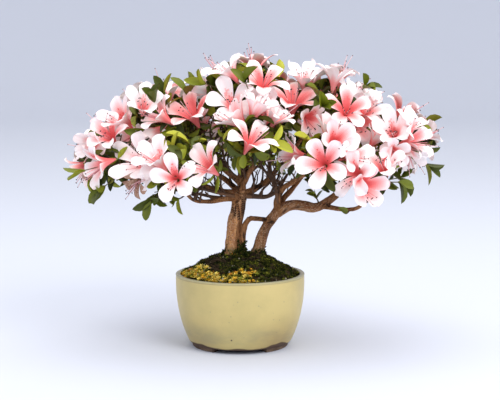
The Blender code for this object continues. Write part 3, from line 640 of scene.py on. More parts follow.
def golden_share(point):
    """How much of the moss is golden at a place: a drift along the rim at the front left."""
    radius = math.hypot(point.x, point.y)
    bearing = math.degrees(math.atan2(point.x, -point.y))
    along = min((bearing - DRIFT_FROM) / 14, (DRIFT_TO - bearing) / 20, 1.0)
    across = (radius - DRIFT_RADIUS) / 7
    drift = min(along, across, 1.0) + noise.noise(point * 0.13) * 0.75
    patch = noise.noise(Vector((point.x, point.y, 7.0)) * 0.09 + Vector((5, 2, 1)))
    return max(drift, (patch - 0.34) * 2.2)


def moss_slot(point):
    if golden_share(point) > rng.uniform(0.35, 0.9):
        return rng.choice(UNDER_GOLD)
    from_spot = (point.x - BARE_SPOT[0]) ** 2 + (point.y - BARE_SPOT[1]) ** 2
    bare = noise.noise(point * 0.08 + Vector((3, 9, 4))) + 0.9 * math.exp(-from_spot / BARE_SPOT_SIZE)
    return rng.choice(OPEN_SOIL if bare > rng.uniform(0.05, 0.5) else CUSHION)


def add_star(heap, point, normal):
    """An open rosette of golden moss: two tiers of pointed leaves on a short stem."""
    turn = normal.to_track_quat("Z", "Y").to_matrix()
    size = rng.uniform(2.6, 5.2)
    roll = rng.uniform(0, 6.28)
    stem = Vector((rng.uniform(-0.4, 0.4), rng.uniform(-0.4, 0.4), 1)) * size * 0.5
    corners, slots = [], []
    palette = rng.choice(STAR_PALETTES)
    for blade in range(9):
        out = around(roll + blade * GOLDEN + rng.uniform(-0.2, 0.2))
        side = Vector((-out.y, out.x, 0)) * size * 0.17
        upright = 0.15 + 0.09 * blade
        reach = size * (1 - 0.05 * blade)
        belly = stem + out * reach * 0.45 + Vector((0, 0, reach * upright * 0.6))
        tip = stem + out * reach * (1 - 0.3 * upright) + Vector((0, 0, reach * upright))
        corners += [turn @ corner + point for corner in (stem * 0.8, belly + side, tip, belly - side)]
        slots.append(rng.choice(palette))
    heap.add_blades(corners, slots)


def add_sprig(heap, point, normal, slot):
    """Four narrow pointed leaves that lean out from one root, taller where the moss is cushioned."""
    turn = normal.to_track_quat("Z", "Y").to_matrix()
    size = rng.uniform(1.5, 3.4) * (1.0 + 0.7 * noise.noise(point * 0.22))
    roll = rng.uniform(0, 6.28)
    corners = []
    for blade in range(4):
        out = around(roll + blade * 1.57 + rng.uniform(-0.4, 0.4))
        side = Vector((-out.y, out.x, 0)) * size * 0.22
        lean = rng.uniform(0.35, 0.9)
        belly = out * size * lean * 0.5 + Vector((0, 0, size * 0.45))
        tip = out * size * lean + Vector((0, 0, size * rng.uniform(0.55, 0.95)))
        corners += [turn @ corner + point for corner in (out * 0.1, belly + side, tip, belly - side)]
    heap.add_blades(corners, slot)


soil_tree = tree_of_piece(soil)
wood_tree = tree_of_piece(wood)
rng = random.Random("moss")
moss_finishes = [plain(name, tone, 0.95, Specular_IOR_Level=0.1) for name, tone in MOSS_TONES.items()]
moss_heap = Heap()
for _ in range(STAR_SPRIGS):
    bearing = math.radians(rng.uniform(-88, 40) - 90)
    hit, normal = on_soil(SOIL_EDGE - 1.5 - abs(rng.gauss(0, 8.5)), bearing)
    if hit is not None and golden_share(hit) > 0.3:
        add_star(moss_heap, hit, (normal + Vector((0, 0, 0.8))).normalized())
for _ in range(MOSS_SPRIGS):
    hit, normal = on_soil(SOIL_EDGE * math.sqrt(rng.random()), rng.uniform(0, 2 * math.pi))
    if hit is None or normal.z < 0:
        continue
    in_wood, _, _, _ = wood_tree.ray_cast(hit - Vector((0, 0, 2)), Vector((0, 0, 1)), 6)
    if in_wood is None:
        add_sprig(moss_heap, hit - normal * 0.3, (normal + Vector((0, 0, 0.6))).normalized(), moss_slot(hit))
feet_of_trunks = [face for face in wood.data.polygons if face.center.z < (GROUND + MOSSY_TRUNK) * MM]
for _ in range(TRUNK_SPRIGS):
    face = rng.choice(feet_of_trunks)
    point = face.center / MM + HOME
    rise = (point.z - GROUND) / MOSSY_TRUNK
    on_arch_stem = (point.xy - Vector(TRUNK_FEET[2][:2])).length < ARCH_FOOT_RADIUS
    if noise.noise(point * 0.16) > rise * (0.6 if on_arch_stem else 1.3) - 0.45:
        add_sprig(moss_heap, point, (face.normal + Vector((0, 0, 0.5))).normalized(), rng.choice(ON_TRUNKS))
moss = add_joined("moss", moss_heap, moss_finishes, smooth=False)

CRUMB = [(1, 0, 0), (-1, 0, 0), (0, 1, 0), (0, -1, 0), (0, 0, 1), (0, 0, -1)]
CRUMB_FACES = [(4, 0, 2), (4, 2, 1), (4, 1, 3), (4, 3, 0), (5, 2, 0), (5, 1, 2), (5, 3, 1), (5, 0, 3)]
grit_heap = Heap()
for _ in range(GRIT_CRUMBS):
    hit, _ = on_soil(SOIL_EDGE * math.sqrt(rng.random()), rng.uniform(0, 2 * math.pi))
    if hit is None:
        continue
    size = rng.uniform(0.5, 1.5)
    points = [hit + Vector([c * size * rng.uniform(0.7, 1.3) for c in corner]) for corner in CRUMB]
    grit_heap.add([tuple(corner) for corner in points], CRUMB_FACES, rng.choice(GRIT))
crumbs = add_joined("grit", grit_heap, moss_finishes, smooth=False)
for piece in (moss, crumbs):
    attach(piece, "root")
    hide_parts("mossy_soil")


# Plan of the crown
# Twelve masses of blossom, each in a space of its own at the end of a bough. A rule deals out
# the blooms and the leafy tips on each space, and none stands inside a neighbour's.
CROWN_HEART = Vector((19.0, 0.0, 185.0))
PEDICEL, SPRAY_REACH = 27.0, 1.2
LOWEST_BLOOM, LOWEST_LEAF = 204.0, 197.0
OPEN_FRONT_X, OPEN_FRONT_Z, OPEN_FRONT_Y = (-50.0, 58.0), (172.0, 264.0), 14.0
NO_BLOOM_LEFT = -86.0
# The rounds in which sites are dealt out, each with how far out they lie and how far apart.
FIRST_ROUNDS, FINER_BLOOMS = ((1.0, 35.0, "bloom"), (0.93, 25.0, "leafy")), ((1.0, 22.0), (0.88, 20.0))
INNER_LEAVES = ((0.84, 17.0), (0.68, 16.0), (0.48, 17.0))
# The tries of a round, and how far round to the crown's heart a mass is open to its sites.
FIRST_ROUND, FINER_ROUND, INNER_ROUND = (90, 0.3), (220, -0.1), (150, -0.45)
# The top and the underside of the crown from the front, as (sideways, up) pairs. The camera looks
# down a little, so what stands at the back shows higher.
OUTLINE = np.array(((-212, 150), (-203, 212), (-182, 246), (-156, 281), (-127, 302), (-92, 318),
                    (-46, 323), (-23, 331), (5, 344), (52, 342), (92, 329), (127, 326), (144, 313),
                    (185, 291), (213, 270), (240, 246), (247, 200)))
UNDERSIDE = np.array(((-212, 215), (-200, 204), (-180, 182), (-160, 170), (-120, 158), (160, 146), (176, 150),
                      (188, 180), (205, 198), (225, 214), (247, 245)))
RISE_OF_VIEW = 0.118
# (sideways, up) of each lead bloom from the middle of its mass, then where it looks, in degrees
# to the right of the front and above the level, how pink it is, or WITHERED, and for some how
# large it is.
WITHERED = -1.0
MASSES = {
    "blossom_right_front": {
        "bough": "bough_right_front", "centre": (96, -66, 220), "radii": (42, 38, 34),
        "lead": ((-6, 3, -12, 14, 0.6), (11, 27, 15, 25, 0.5), (28, -11, -30, 5, 0.4),
                 (-41, 10, -75, 10, 0.5), (32, 12, 25, 30, 0.4)),
    },
    "blossom_left_front": {
        "bough": "bough_left_low", "centre": (-62, -62, 214), "radii": (42, 40, 34),
        "lead": ((-9, -8, -8, 12, 0.35), (22, 8, -50, 35, 0.4)),
    },
    "blossom_left_tip": {
        "bough": "bough_left_tip", "centre": (-142, -10, 220), "radii": (48, 56, 38),
        "lead": ((28, 3, -35, 25, 0.15, 1.2), (-7, 31, -25, 35, 0.6), (-32, 20, -60, 20, 0.2),
                 (-18, -3, -60, -12, 0.5), (22, -26, -50, -30, WITHERED, 0.72)),
        "sprays": ((-30, -8, -70, 0), (-12, -26, -40, -20)),
    },
    "blossom_top_centre": {
        "bough": "bough_leader", "centre": (8, 0, 294), "radii": (54, 60, 36),
        "lead": ((-18, -5, -8, 35, 0.05), (-20, 22, -10, 65, 0.3), (19, 18, 10, 52, 0.7),
                 (16, -14, 5, 28, 0.35)),
        "sprays": ((-2, 16, -20, 60), (-40, 14, -20, 60), (0, -24, -10, 20)),
    },
    "blossom_top_right": {
        "bough": "bough_top_right", "centre": (100, 0, 283), "radii": (50, 58, 34),
        "lead": ((20, -3, 5, 30, 0.75), (-39, 7, 10, 62, 0.9), (-20, -17, 8, 15, 0.5), (46, -4, 20, 35, 0.3),
                 (-27, 27, 0, 60, 0.1), (8, 30, 5, 65, 0.05), (30, 24, 10, 55, 0.0), (48, 12, 25, 50, 0.05),
                 (35, -20, 15, 10, 0.8)),
        "sprays": ((38, 18, 60, 25), (-6, 2, 20, 35), (0, -30, 10, 0)),
    },
    "blossom_left_top": {
        "bough": "bough_left_top", "centre": (-92, 0, 266), "radii": (52, 54, 34),
        "lead": ((-42, 0, -30, 42, 0.5), (-15, 17, -15, 55, 0.05), (0, 8, -55, 30, 0.55),
                 (36, 10, -35, 50, 1.0)),
        "sprays": ((36, 32, -10, 80), (25, 28, -25, 70), (5, 28, -10, 75), (-4, 22, -30, 60),
                   (46, 6, 10, 30)),
    },
    "blossom_right_shoulder": {
        "bough": "bough_right_low", "centre": (184, -5, 242), "radii": (42, 54, 34),
        "lead": ((13, 4, 58, 20, 0.6), (-11, 16, 10, 35, 0.15), (8, -18, 35, -10, 0.15),
                 (-30, 8, -15, 25, 0.3), (8, 22, 30, 40, 0.35), (-8, -10, -25, -5, 0.1)),
        "sprays": ((30, -24, 60, 5),),
    },
    "blossom_right_low": {
        "bough": "bough_right_tip", "centre": (152, -40, 196), "radii": (38, 48, 30),
        "lead": ((-11, 0, 22, 12, 0.75, 1.1), (6, 24, -30, 50, 0.35)),
    },
    "blossom_centre_front": {
        "bough": "bough_centre_front", "centre": (18, -72, 250), "radii": (36, 34, 28),
        "lead": ((-3, 2, 38, 52, 0.55),),
    },
    "blossom_back_left": {"bough": "bough_back_left", "centre": (-80, 70, 240), "radii": (56, 50, 44)},
    "blossom_back_centre": {"bough": "bough_back_centre", "centre": (14, 86, 262), "radii": (52, 50, 42)},
    "blossom_back_right": {"bough": "bough_back_right", "centre": (114, 70, 240), "radii": (56, 50, 44)},
}


def is_inside(point, mass, scale):
    away = point - Vector(mass["centre"])
    return sum((away[i] / (mass["radii"][i] * scale)) ** 2 for i in range(3)) < 1


def is_kept_open(point, kind, rng):
    """Whether the place is bare: below the crown, and in the open middle of its front."""
    if point.z < (LOWEST_BLOOM if kind == "bloom" else LOWEST_LEAF):
        return True
    left = NO_BLOOM_LEFT if kind == "bloom" else OPEN_FRONT_X[0]
    in_front = point.y < OPEN_FRONT_Y and left < point.x < OPEN_FRONT_X[1]
    if not in_front or not OPEN_FRONT_Z[0] < point.z < OPEN_FRONT_Z[1]:
        return False
    low_down = (OPEN_FRONT_Z[1] - point.z) / (OPEN_FRONT_Z[1] - OPEN_FRONT_Z[0])
    return kind == "bloom" or rng.random() < 0.2 + low_down * 1.3


def site(mass, unit, rng, kind, shell=1.0):
    """A place on the mass's own surface, or in or out from it, facing outwards and a little up."""
    radii = Vector(mass["radii"])
    unit = unit * shell
    point = Vector(mass["centre"]) + Vector([unit[i] * radii[i] for i in range(3)])
    normal = Vector([unit[i] / radii[i] for i in range(3)]).normalized()
    outward = (point - CROWN_HEART).normalized()
    facing = (normal * 0.7 + outward * 0.4 + Vector((0, 0, 0.2)) + shaken(rng, 0.25)).normalized()
    return {"kind": kind, "point": point, "facing": facing, "size": rng.uniform(0.92, 1.08),
            "pink": None, "shell": shell, "rank": 1}


def front_site(mass, sideways, up, turn, lift, rng, kind, shell=1.0):
    """A place on the front of a mass that looks so many degrees right of the front and up."""
    x = sideways / mass["radii"][0]
    z = up / mass["radii"][2]
    y = -math.sqrt(max(0.02, 1 - x * x - z * z))
    spot = site(mass, Vector((x, y, z)).normalized(), rng, kind, shell)
    turn, lift = math.radians(turn), math.radians(lift)
    level = math.cos(lift)
    spot["facing"] = Vector((math.sin(turn) * level, -math.cos(turn) * level, math.sin(lift)))
    return spot


def lead_sites(mass, rng):
    """The blooms that show best from the front."""
    for sideways, up, turn, lift, pink, *size in mass.get("lead", ()):
        spot = front_site(mass, sideways, up, turn, lift, rng, "bloom")
        spot.update(pink=pink, rank=0, size=size[0] if size else spot["size"])
        yield spot


def spread_sites(name, taken, kind, shell, spacing, tries, open_side):
    """Fills the open side of a mass with sites no closer to each other than the spacing."""
    mass, rng = MASSES[name], rngs[name]
    for i in range(tries):
        z = 1 - (2 * i + 1) / tries
        unit = around(i * GOLDEN + rng.uniform(-0.2, 0.2), math.sqrt(1 - z * z), z)
        spot = site(mass, unit, rng, kind, shell)
        outward = (spot["point"] - CROWN_HEART).normalized()
        buried = any(is_inside(spot["point"], other, 0.96 * shell)
                     for key, other in MASSES.items() if key != name)
        crowded = any((spot["point"] - other["point"]).length < spacing for other in taken)
        bare = is_kept_open(spot["point"], kind, rng)
        if unit.dot(outward) > open_side and not buried and not crowded and not bare:
            taken.append(spot)
            yield spot


taken = []
plan = {name: [] for name in MASSES}
rngs = {name: random.Random(f"{name} sites") for name in MASSES}
for name, mass in MASSES.items():
    plan[name] += lead_sites(mass, rngs[name])
    taken += plan[name]
for shell, spacing, kind in FIRST_ROUNDS:
    for name in MASSES:
        plan[name] += spread_sites(name, taken, kind, shell, spacing, *FIRST_ROUND)
# Finer: more blooms between and behind those, and leafy tips down into the middle of each mass.
blooms_so_far = [spot for spot in taken if spot["kind"] == "bloom"]
for shell, spacing in FINER_BLOOMS:
    for name in MASSES:
        for spot in spread_sites(name, blooms_so_far, "bloom", shell, spacing, *FINER_ROUND):
            spot["rank"] = 2
            plan[name].append(spot)
# The leafy tips that stand out of the blossom.
for name, mass in MASSES.items():
    plan[name] += [front_site(mass, *spray, rngs[name], "leafy", SPRAY_REACH)
                   for spray in mass.get("sprays", ())]
leafy_so_far = [spot for spots in plan.values() for spot in spots if spot["kind"] == "leafy"]
for shell, spacing in INNER_LEAVES:
    for name in MASSES:
        plan[name] += spread_sites(name, leafy_so_far, "leafy", shell, spacing, *INNER_ROUND)


# Form of the blooms
# A narrow tube that opens into five long oval lobes, parted almost down to the throat, grooved
# along the middle and waved at the margin. Eight forms, half open to flat, are dealt out.
BLOOM_RADIUS, BLOOM_TRIES, LOBES = 31.0, 40, 5
PROFILE_AT = np.array((0.0, 0.16, 0.30, 0.45, 0.62, 0.80, 1.0))
OPEN_OUT = np.array((0.045, 0.09, 0.16, 0.30, 0.54, 0.80, 1.0))
OPEN_UP = np.array((-0.80, -0.61, -0.40, -0.18, 0.01, 0.11, 0.10))
CUPPED_OUT = np.array((0.045, 0.09, 0.15, 0.23, 0.38, 0.56, 0.72))
CUPPED_UP = np.array((-0.80, -0.62, -0.42, -0.18, 0.12, 0.40, 0.62))
SPLIT_AT = 0.30
LOBE_AT = np.array((0.0, 0.15, 0.35, 0.60, 0.80, 0.93, 1.0))
LOBE_HALF_WIDTH = np.array((0.094, 0.132, 0.196, 0.262, 0.236, 0.142, 0.012))


def flow(at, knots, values):
    """A smooth curve through the values at the knots."""
    slopes = np.gradient(values, knots)
    i = np.clip(np.searchsorted(knots, at) - 1, 0, len(knots) - 2)
    span = knots[i + 1] - knots[i]
    t = (at - knots[i]) / span
    return ((1 + 2 * t) * (1 - t) ** 2 * values[i] + t * (1 - t) ** 2 * span * slopes[i]
            + t * t * (3 - 2 * t) * values[i + 1] + t * t * (t - 1) * span * slopes[i + 1])


def eased(value):
    value = np.clip(value, 0, 1)
    return value * value * (3 - 2 * value)


def grid_faces(rows, columns):
    corner = np.arange(rows - 1)[:, None] * columns + np.arange(columns - 1)
    return np.stack((corner, corner + 1, corner + columns + 1, corner + columns), axis=-1).reshape(-1, 4)


def bloom_form(opening, breadth, rng, rows_in_tube, rows_in_lobe, columns):
    """Points and faces of a unit bloom, and how far out on its lobe each face lies."""
    free = 1 - (1 - np.linspace(0, 1, rows_in_lobe)) ** 1.35
    in_tube = np.linspace(0, SPLIT_AT, rows_in_tube, endpoint=False)
    at = np.concatenate((in_tube, SPLIT_AT + (1 - SPLIT_AT) * free))
    across = np.linspace(-1, 1, columns)
    lobe_at = np.clip((at - SPLIT_AT) / (1 - SPLIT_AT), 0, 1)
    points, faces, reaches = [], [], []
    for lobe in range(LOBES):
        share = np.clip(opening + rng.uniform(-0.16, 0.16), 0, 1.2)
        out = flow(at, PROFILE_AT, OPEN_OUT * share + CUPPED_OUT * (1 - share))
        up = flow(at, PROFILE_AT, OPEN_UP * share + CUPPED_UP * (1 - share))
        out = out * (1 + rng.uniform(-0.08, 0.06) * lobe_at)
        broad = 1 + (breadth * rng.uniform(0.93, 1.07) - 1) * eased(lobe_at / 0.4)
        half = flow(lobe_at, LOBE_AT, LOBE_HALF_WIDTH) * broad
        half = np.where(lobe_at > 0, half, out * math.sin(math.pi / LOBES))
        spread = np.arcsin(np.clip(half / out, 0, 0.9))
        bend, twist = rng.uniform(-0.14, 0.14), rng.uniform(-0.10, 0.10)
        angle = lobe * 2 * math.pi / LOBES + bend * lobe_at[:, None] ** 2 + across * spread[:, None]
        free_part = eased(lobe_at / 0.5)[:, None]
        phase, waves = rng.uniform(0, 6.28), rng.uniform(1.6, 2.8)
        wave = np.sin(waves * math.pi * lobe_at[:, None] + phase + 1.2 * across) * np.abs(across) ** 3 * 0.030
        channel = rng.uniform(-0.03, 0.06) * across ** 2 - 0.034 * np.exp(-(across / 0.22) ** 2)
        reflex = -0.13 * rng.uniform(0.0, 1.3) * np.clip((lobe_at - 0.55) / 0.45, 0, 1)[:, None] ** 2
        lift = up[:, None] + (wave + channel + twist * across * lobe_at[:, None]) * free_part + reflex
        grid = np.stack((out[:, None] * np.cos(angle), out[:, None] * np.sin(angle), lift), axis=-1)
        faces.append(grid_faces(len(at), columns) + len(points) * grid.shape[0] * columns)
        points.append(grid.reshape(-1, 3))
        row = (lobe_at[1:] + lobe_at[:-1]) / 2
        cell = np.abs(across[1:] + across[:-1]) / 2
        margin = 0.24 * cell ** 2 * eased(row / 0.3)[:, None]
        reaches.append((row[:, None] + margin - 0.04 * np.exp(-(cell / 0.3) ** 2)).ravel())
    return np.concatenate(points), np.concatenate(faces), np.concatenate(reaches)


# How wide each form stands open, and the breadth of its lobes.
SHAPES = ((1.0, 1.0), (0.88, 1.1), (0.76, 0.96), (1.05, 1.05), (0.64, 1.1), (0.5, 1.0), (0.35, 1.05),
          (0.15, 1.0))
FORMS = [bloom_form(*shape, random.Random(f"form {i}"), 4, 22, 11) for i, shape in enumerate(SHAPES)]
COARSE_FORMS = [bloom_form(*shape, random.Random(f"form {i}"), 2, 5, 4)[:2] for i, shape in enumerate(SHAPES)]


def turned_to(facing, roll):
    return facing.to_track_quat("Z", "Y").to_matrix() @ Matrix.Rotation(roll, 3, "Z")


def placed_points(points, turn, size, spot):
    return np.asarray(points) @ (np.array(turn).T * size) + np.array(spot)


# Each bloom in turn is turned and tilted until it clears the ones round it. The blooms of the
# first plan come first. Those in between are left out where there is no room.
OPEN_FORMS, NARROW_FORMS = (0, 1, 1, 2, 2, 3, 4, 5), (2, 4, 5, 6, 6, 7)
FAIR_TRIES, MOST_CROSSINGS = 12, (16, 6, 7)
blooms = []
for name in MASSES:
    rng = random.Random(f"{name} blooms")
    blooms += [(spot["rank"], name, spot, rng) for spot in plan[name] if spot["kind"] == "bloom"]
blooms.sort(key=lambda row: row[0])
standing = []
for rank, name, spot, rng in blooms:
    tries = BLOOM_TRIES if rank < 2 else BLOOM_TRIES // 2
    best = None
    for attempt in range(tries):
        loose = 0.018 * attempt + (0.15 if rank else 0)
        facing = (spot["facing"] + shaken(rng, 1) * loose).normalized()
        form = rng.choice(OPEN_FORMS if attempt < FAIR_TRIES and rank < 2 else NARROW_FORMS)
        size = BLOOM_RADIUS * spot["size"] * (1 - 0.005 * attempt)
        turn = turned_to(facing, rng.uniform(0, 2 * math.pi))
        point = spot["point"] + spot["facing"] * rng.uniform(-0.3, 0.3) * attempt
        corners = placed_points(COARSE_FORMS[form][0], turn, size, point)
        tree = BVHTree.FromPolygons(corners.tolist(), COARSE_FORMS[form][1].tolist())
        crossings = sum(len(tree.overlap(other)) for other, centre in standing
                        if (centre - point).length < 2.2 * BLOOM_RADIUS)
        crossings += 3 * len(tree.overlap(wood_tree))
        sideways, shown_up = corners[:, 0], corners[:, 2] + RISE_OF_VIEW * corners[:, 1]
        beyond = (shown_up > np.interp(sideways, *OUTLINE.T)) | (shown_up < np.interp(sideways, *UNDERSIDE.T))
        crossings += int(beyond.sum()) // 3
        if best is None or crossings < best[0]:
            best = (crossings, tree, {"form": form, "radius": size, "turn": turn, "facing": facing,
                                      "corners": corners, "point": point})
        if crossings == 0:
            break
    crossings, tree, placing = best
    spot["grown"] = crossings < MOST_CROSSINGS[rank]
    if spot["grown"]:
        spot.update(placing)
        standing.append((tree, spot["point"]))
for spots in plan.values():
    spots[:] = [spot for spot in spots if spot["kind"] == "leafy" or spot["grown"]]
    for spot in spots:
        stalk = PEDICEL if spot["kind"] == "bloom" else PEDICEL / 2 * spot["shell"]
        spot["root"] = spot["point"] - spot["facing"] * stalk
bloom_spots = [spot for spots in plan.values() for spot in spots if spot["kind"] == "bloom"]

# What leaves and twigs keep clear of: the petals, and the room in front of each throat.
CONE = np.array([(0.04, 0, -0.7), (-0.02, 0.03, -0.7), (-0.02, -0.03, -0.7), (0.6, 0, 0.7), (-0.3, 0.52, 0.7),
                 (-0.3, -0.52, 0.7)])
CONE_FACES = np.array([(0, 1, 4, 3), (1, 2, 5, 4), (2, 0, 3, 5), (3, 4, 5, 5)])
kept_corners, kept_faces = [], []
for spot in bloom_spots:
    kept_faces += (COARSE_FORMS[spot["form"]][1] + len(kept_corners)).tolist()
    kept_corners += spot["corners"].tolist()
    kept_faces += [list(dict.fromkeys(face)) for face in (CONE_FACES + len(kept_corners)).tolist()]
    kept_corners += placed_points(CONE, spot["turn"], spot["radius"], spot["point"]).tolist()
petal_tree = BVHTree.FromPolygons(kept_corners, kept_faces)


def is_blocked(start, end):
    """Whether wood or petals stand between two points."""
    way = end - start
    length = way.length
    way.normalize()
    start = start + way * 0.6
    return any(tree.ray_cast(start, way, length)[0] is not None for tree in (wood_tree, petal_tree))


# Twigs
# From the tip of its bough each mass grows one stem. A strand runs on to the larger group of
# sites and forks to the smaller, thinner each time, down to the stalks of blooms and leaves.
TWIG_TIP, TWIG_TAPER, FORK_REACH, FORK_OFFSET, FORK_TAPER = 0.62, 0.82, 0.42, 0.12, 0.85
LEAFY_STALK, OLD_ABOVE, BROWN_ABOVE = 5.0, 1.3, 0.75
# Thin crooked shoots rise off the boughs, bare low down, some with a few small leaves. There are
# none on the low stretch of the right bough.
SPUR_EVERY, SPUR_LEAF_SHARE, SPUR_LEAF_FLOOR = 8.5, 0.4, 204.0
SPUR_KNOTS, BARE_KNOTS = (2, 3, 4, 5, 6), 0.4
BARE_FROM_X, BARE_BELOW_Z = 58.0, 176.0
TWIG_FINISHES = [
    plain("twig_old", (0.080, 0.038, 0.018), 0.85),
    plain("twig_brown", (0.16, 0.076, 0.034), 0.8),
    plain("twig_young", (0.13, 0.10, 0.035), 0.7),
    plain("stalk_green", (0.20, 0.26, 0.06), 0.6),
]
# Thinner limbs between the boughs, each a path and the radii at its two ends.
THIN_LIMBS = {
    "thin_left_upper": {"path": ((-3, -3, 174), (-30, -14, 181), (-52, -30, 188), (-70, -48, 194)),
                        "radii": (2.2, 1.2)},
    "thin_left_lower": {"path": ((-8, -2, 172), (-34, -4, 174), (-60, -14, 181), (-92, -20, 190)),
                        "radii": (2.2, 1.2)},
    "thin_centre": {"path": ((1, -2, 184), (10, -14, 200), (24, -24, 216), (36, -34, 232)),
                    "radii": (2.4, 1.1)},
    "thin_cross": {"path": ((0, -1, 176), (14, -3, 175), (28, -5, 174.5), (42, -7, 181), (54, -10, 200)),
                   "radii": (3.6, 1.6)},
    "thin_riser": {"path": ((44, -2, 164), (42, -8, 180), (36, -14, 200), (33, -20, 226)),
                   "radii": (2.5, 1.2)},
    "thin_leader": {"path": ((0, 4, 190), (-14, 0, 206), (-26, -8, 226), (-34, -12, 248)),
                    "radii": (2.3, 1.1)},
}
# Each loose shoot is its two ends, its bends, and how many leaves it has at each and how long.
LOOSE_SHOOTS = (
    ((-84, -1, 198), (-99, -36, 172), 4, 3, (20, 28)),
    ((126, -26, 162), (122, -33, 158), 2, 1, (14, 18)),
    ((92, -5, 165), (86, -10, 178), 3, 3, (9, 14)),
    ((-61, -42, 182), (-73, -47, 176), 2, 4, (14, 20)),
)


def frames_along(path):
    """(point, side, tangent) at each point, the side carried along without twist."""
    last = len(path) - 1
    tangents = [(path[min(i + 1, last)] - path[max(i - 1, 0)]).normalized() for i in range(last + 1)]
    side = tangents[0].orthogonal().normalized()
    found = []
    for i, (point, tangent) in enumerate(zip(path, tangents)):
        if i:
            side = tangents[i - 1].rotation_difference(tangent) @ side
        found.append((point, side.copy(), tangent))
    return found


def add_tube(heap, path, radii, sides, slots):
    """A tube closed at its end by a point, with a finish for each stretch."""
    angles = np.arange(sides) * 2 * math.pi / sides
    rings = []
    for (point, side, tangent), radius in zip(frames_along(path), radii):
        other = tangent.cross(side)
        ring = np.outer(np.cos(angles), side) + np.outer(np.sin(angles), other)
        rings.append(np.array(point) + radius * ring)
    end = path[-1] + (path[-1] - path[-2]).normalized() * radii[-1]
    points = np.concatenate((*rings, [tuple(end)]))
    step = np.arange(sides)
    base = np.arange(len(path) - 1)[:, None] * sides
    faces = np.stack((base + step, base + (step + 1) % sides, base + sides + (step + 1) % sides,
                      base + sides + step), axis=-1).reshape(-1, 4)
    heap.add(points, faces, np.repeat(slots, sides))
    last = (len(path) - 1) * sides
    cap = [(last + i, last + (i + 1) % sides, last + sides) for i in range(sides)]
    heap.add_faces(cap, slots[-1], len(points))


def smoothed(path, radii, per_span):
    """A smooth line through the knots of a strand, and the radius at each of its points."""
    line = catmull_rom(path, per_span)
    return line, np.interp(np.linspace(0, len(path) - 1, len(line)), range(len(radii)), radii)


def split(spots, knot):
    """Two groups, gathered round the pair of sites that lie furthest apart from the knot."""
    ways = [(spot["root"] - knot).normalized() for spot in spots]
    pairs = [(a.dot(b), i, j) for i, a in enumerate(ways) for j, b in enumerate(ways) if i < j]
    _, first, second = min(pairs)
    near = [s for s, way in zip(spots, ways) if way.dot(ways[first]) >= way.dot(ways[second])]
    far = [s for s, way in zip(spots, ways) if way.dot(ways[first]) < way.dot(ways[second])]
    return sorted((near, far), key=len, reverse=True)


def grow(strands, rng, path, radii, spots):
    """Carries a strand on to the larger group of sites, and forks one off to the smaller."""
    if len(spots) == 1:
        strands.append((path, radii, spots[0]))
        return
    middle = sum((spot["root"] for spot in spots), Vector()) / len(spots)
    reach = FORK_REACH if len(spots) > 2 else 0.6
    for wander in (1.5, 3, 5, 8, 12):
        knot = path[-1].lerp(middle, reach) + shaken(rng, wander)
        if not is_blocked(path[-1], knot):
            break
    thin = max(TWIG_TIP, radii[-1] * TWIG_TAPER)
    larger, smaller = split(spots, knot)
    grow(strands, rng, [*path, knot], [*radii, thin], larger)
    grow(strands, rng, [knot.lerp(path[-1], FORK_OFFSET)], [max(TWIG_TIP, thin * FORK_TAPER)], smaller)


twig_heap = Heap()
shoots = []
for name, mass in MASSES.items():
    rng = random.Random(f"{name} twigs")
    bough = BOUGHS[mass["bough"]]
    tip, _, heading = frames_along(catmull_rom(bough["path"], 2))[-1]
    thick = bough["radii"][-1] * 0.95
    strands = []
    if plan[name]:
        grow(strands, rng, [tip - heading * 2, tip + heading * 7], [thick, thick * 0.9], plan[name])
    for path, radii, spot in strands:
        knot = spot["point"] - spot["facing"] * (PEDICEL if spot["kind"] == "bloom" else LEAFY_STALK)
        line, thickness = smoothed([*path, knot], [*radii, TWIG_TIP], 3)
        slots = [0 if r > OLD_ABOVE else 1 if r > BROWN_ABOVE else 2 for r in thickness[1:]]
        add_tube(twig_heap, line, thickness, 5 if radii[0] < 1.6 else 7, slots)
        shoots.append((spot, knot, (knot - path[-1]).normalized(), (knot - path[-1]).length))
        if spot["kind"] == "bloom":
            heel = spot["point"] - spot["facing"] * spot["radius"] * 0.79
            droop = knot.lerp(heel, 0.5) - Vector((0, 0, 0.8))
            add_tube(twig_heap, [knot, droop, heel], [0.6, 0.55, 0.75], 5, [3, 3])

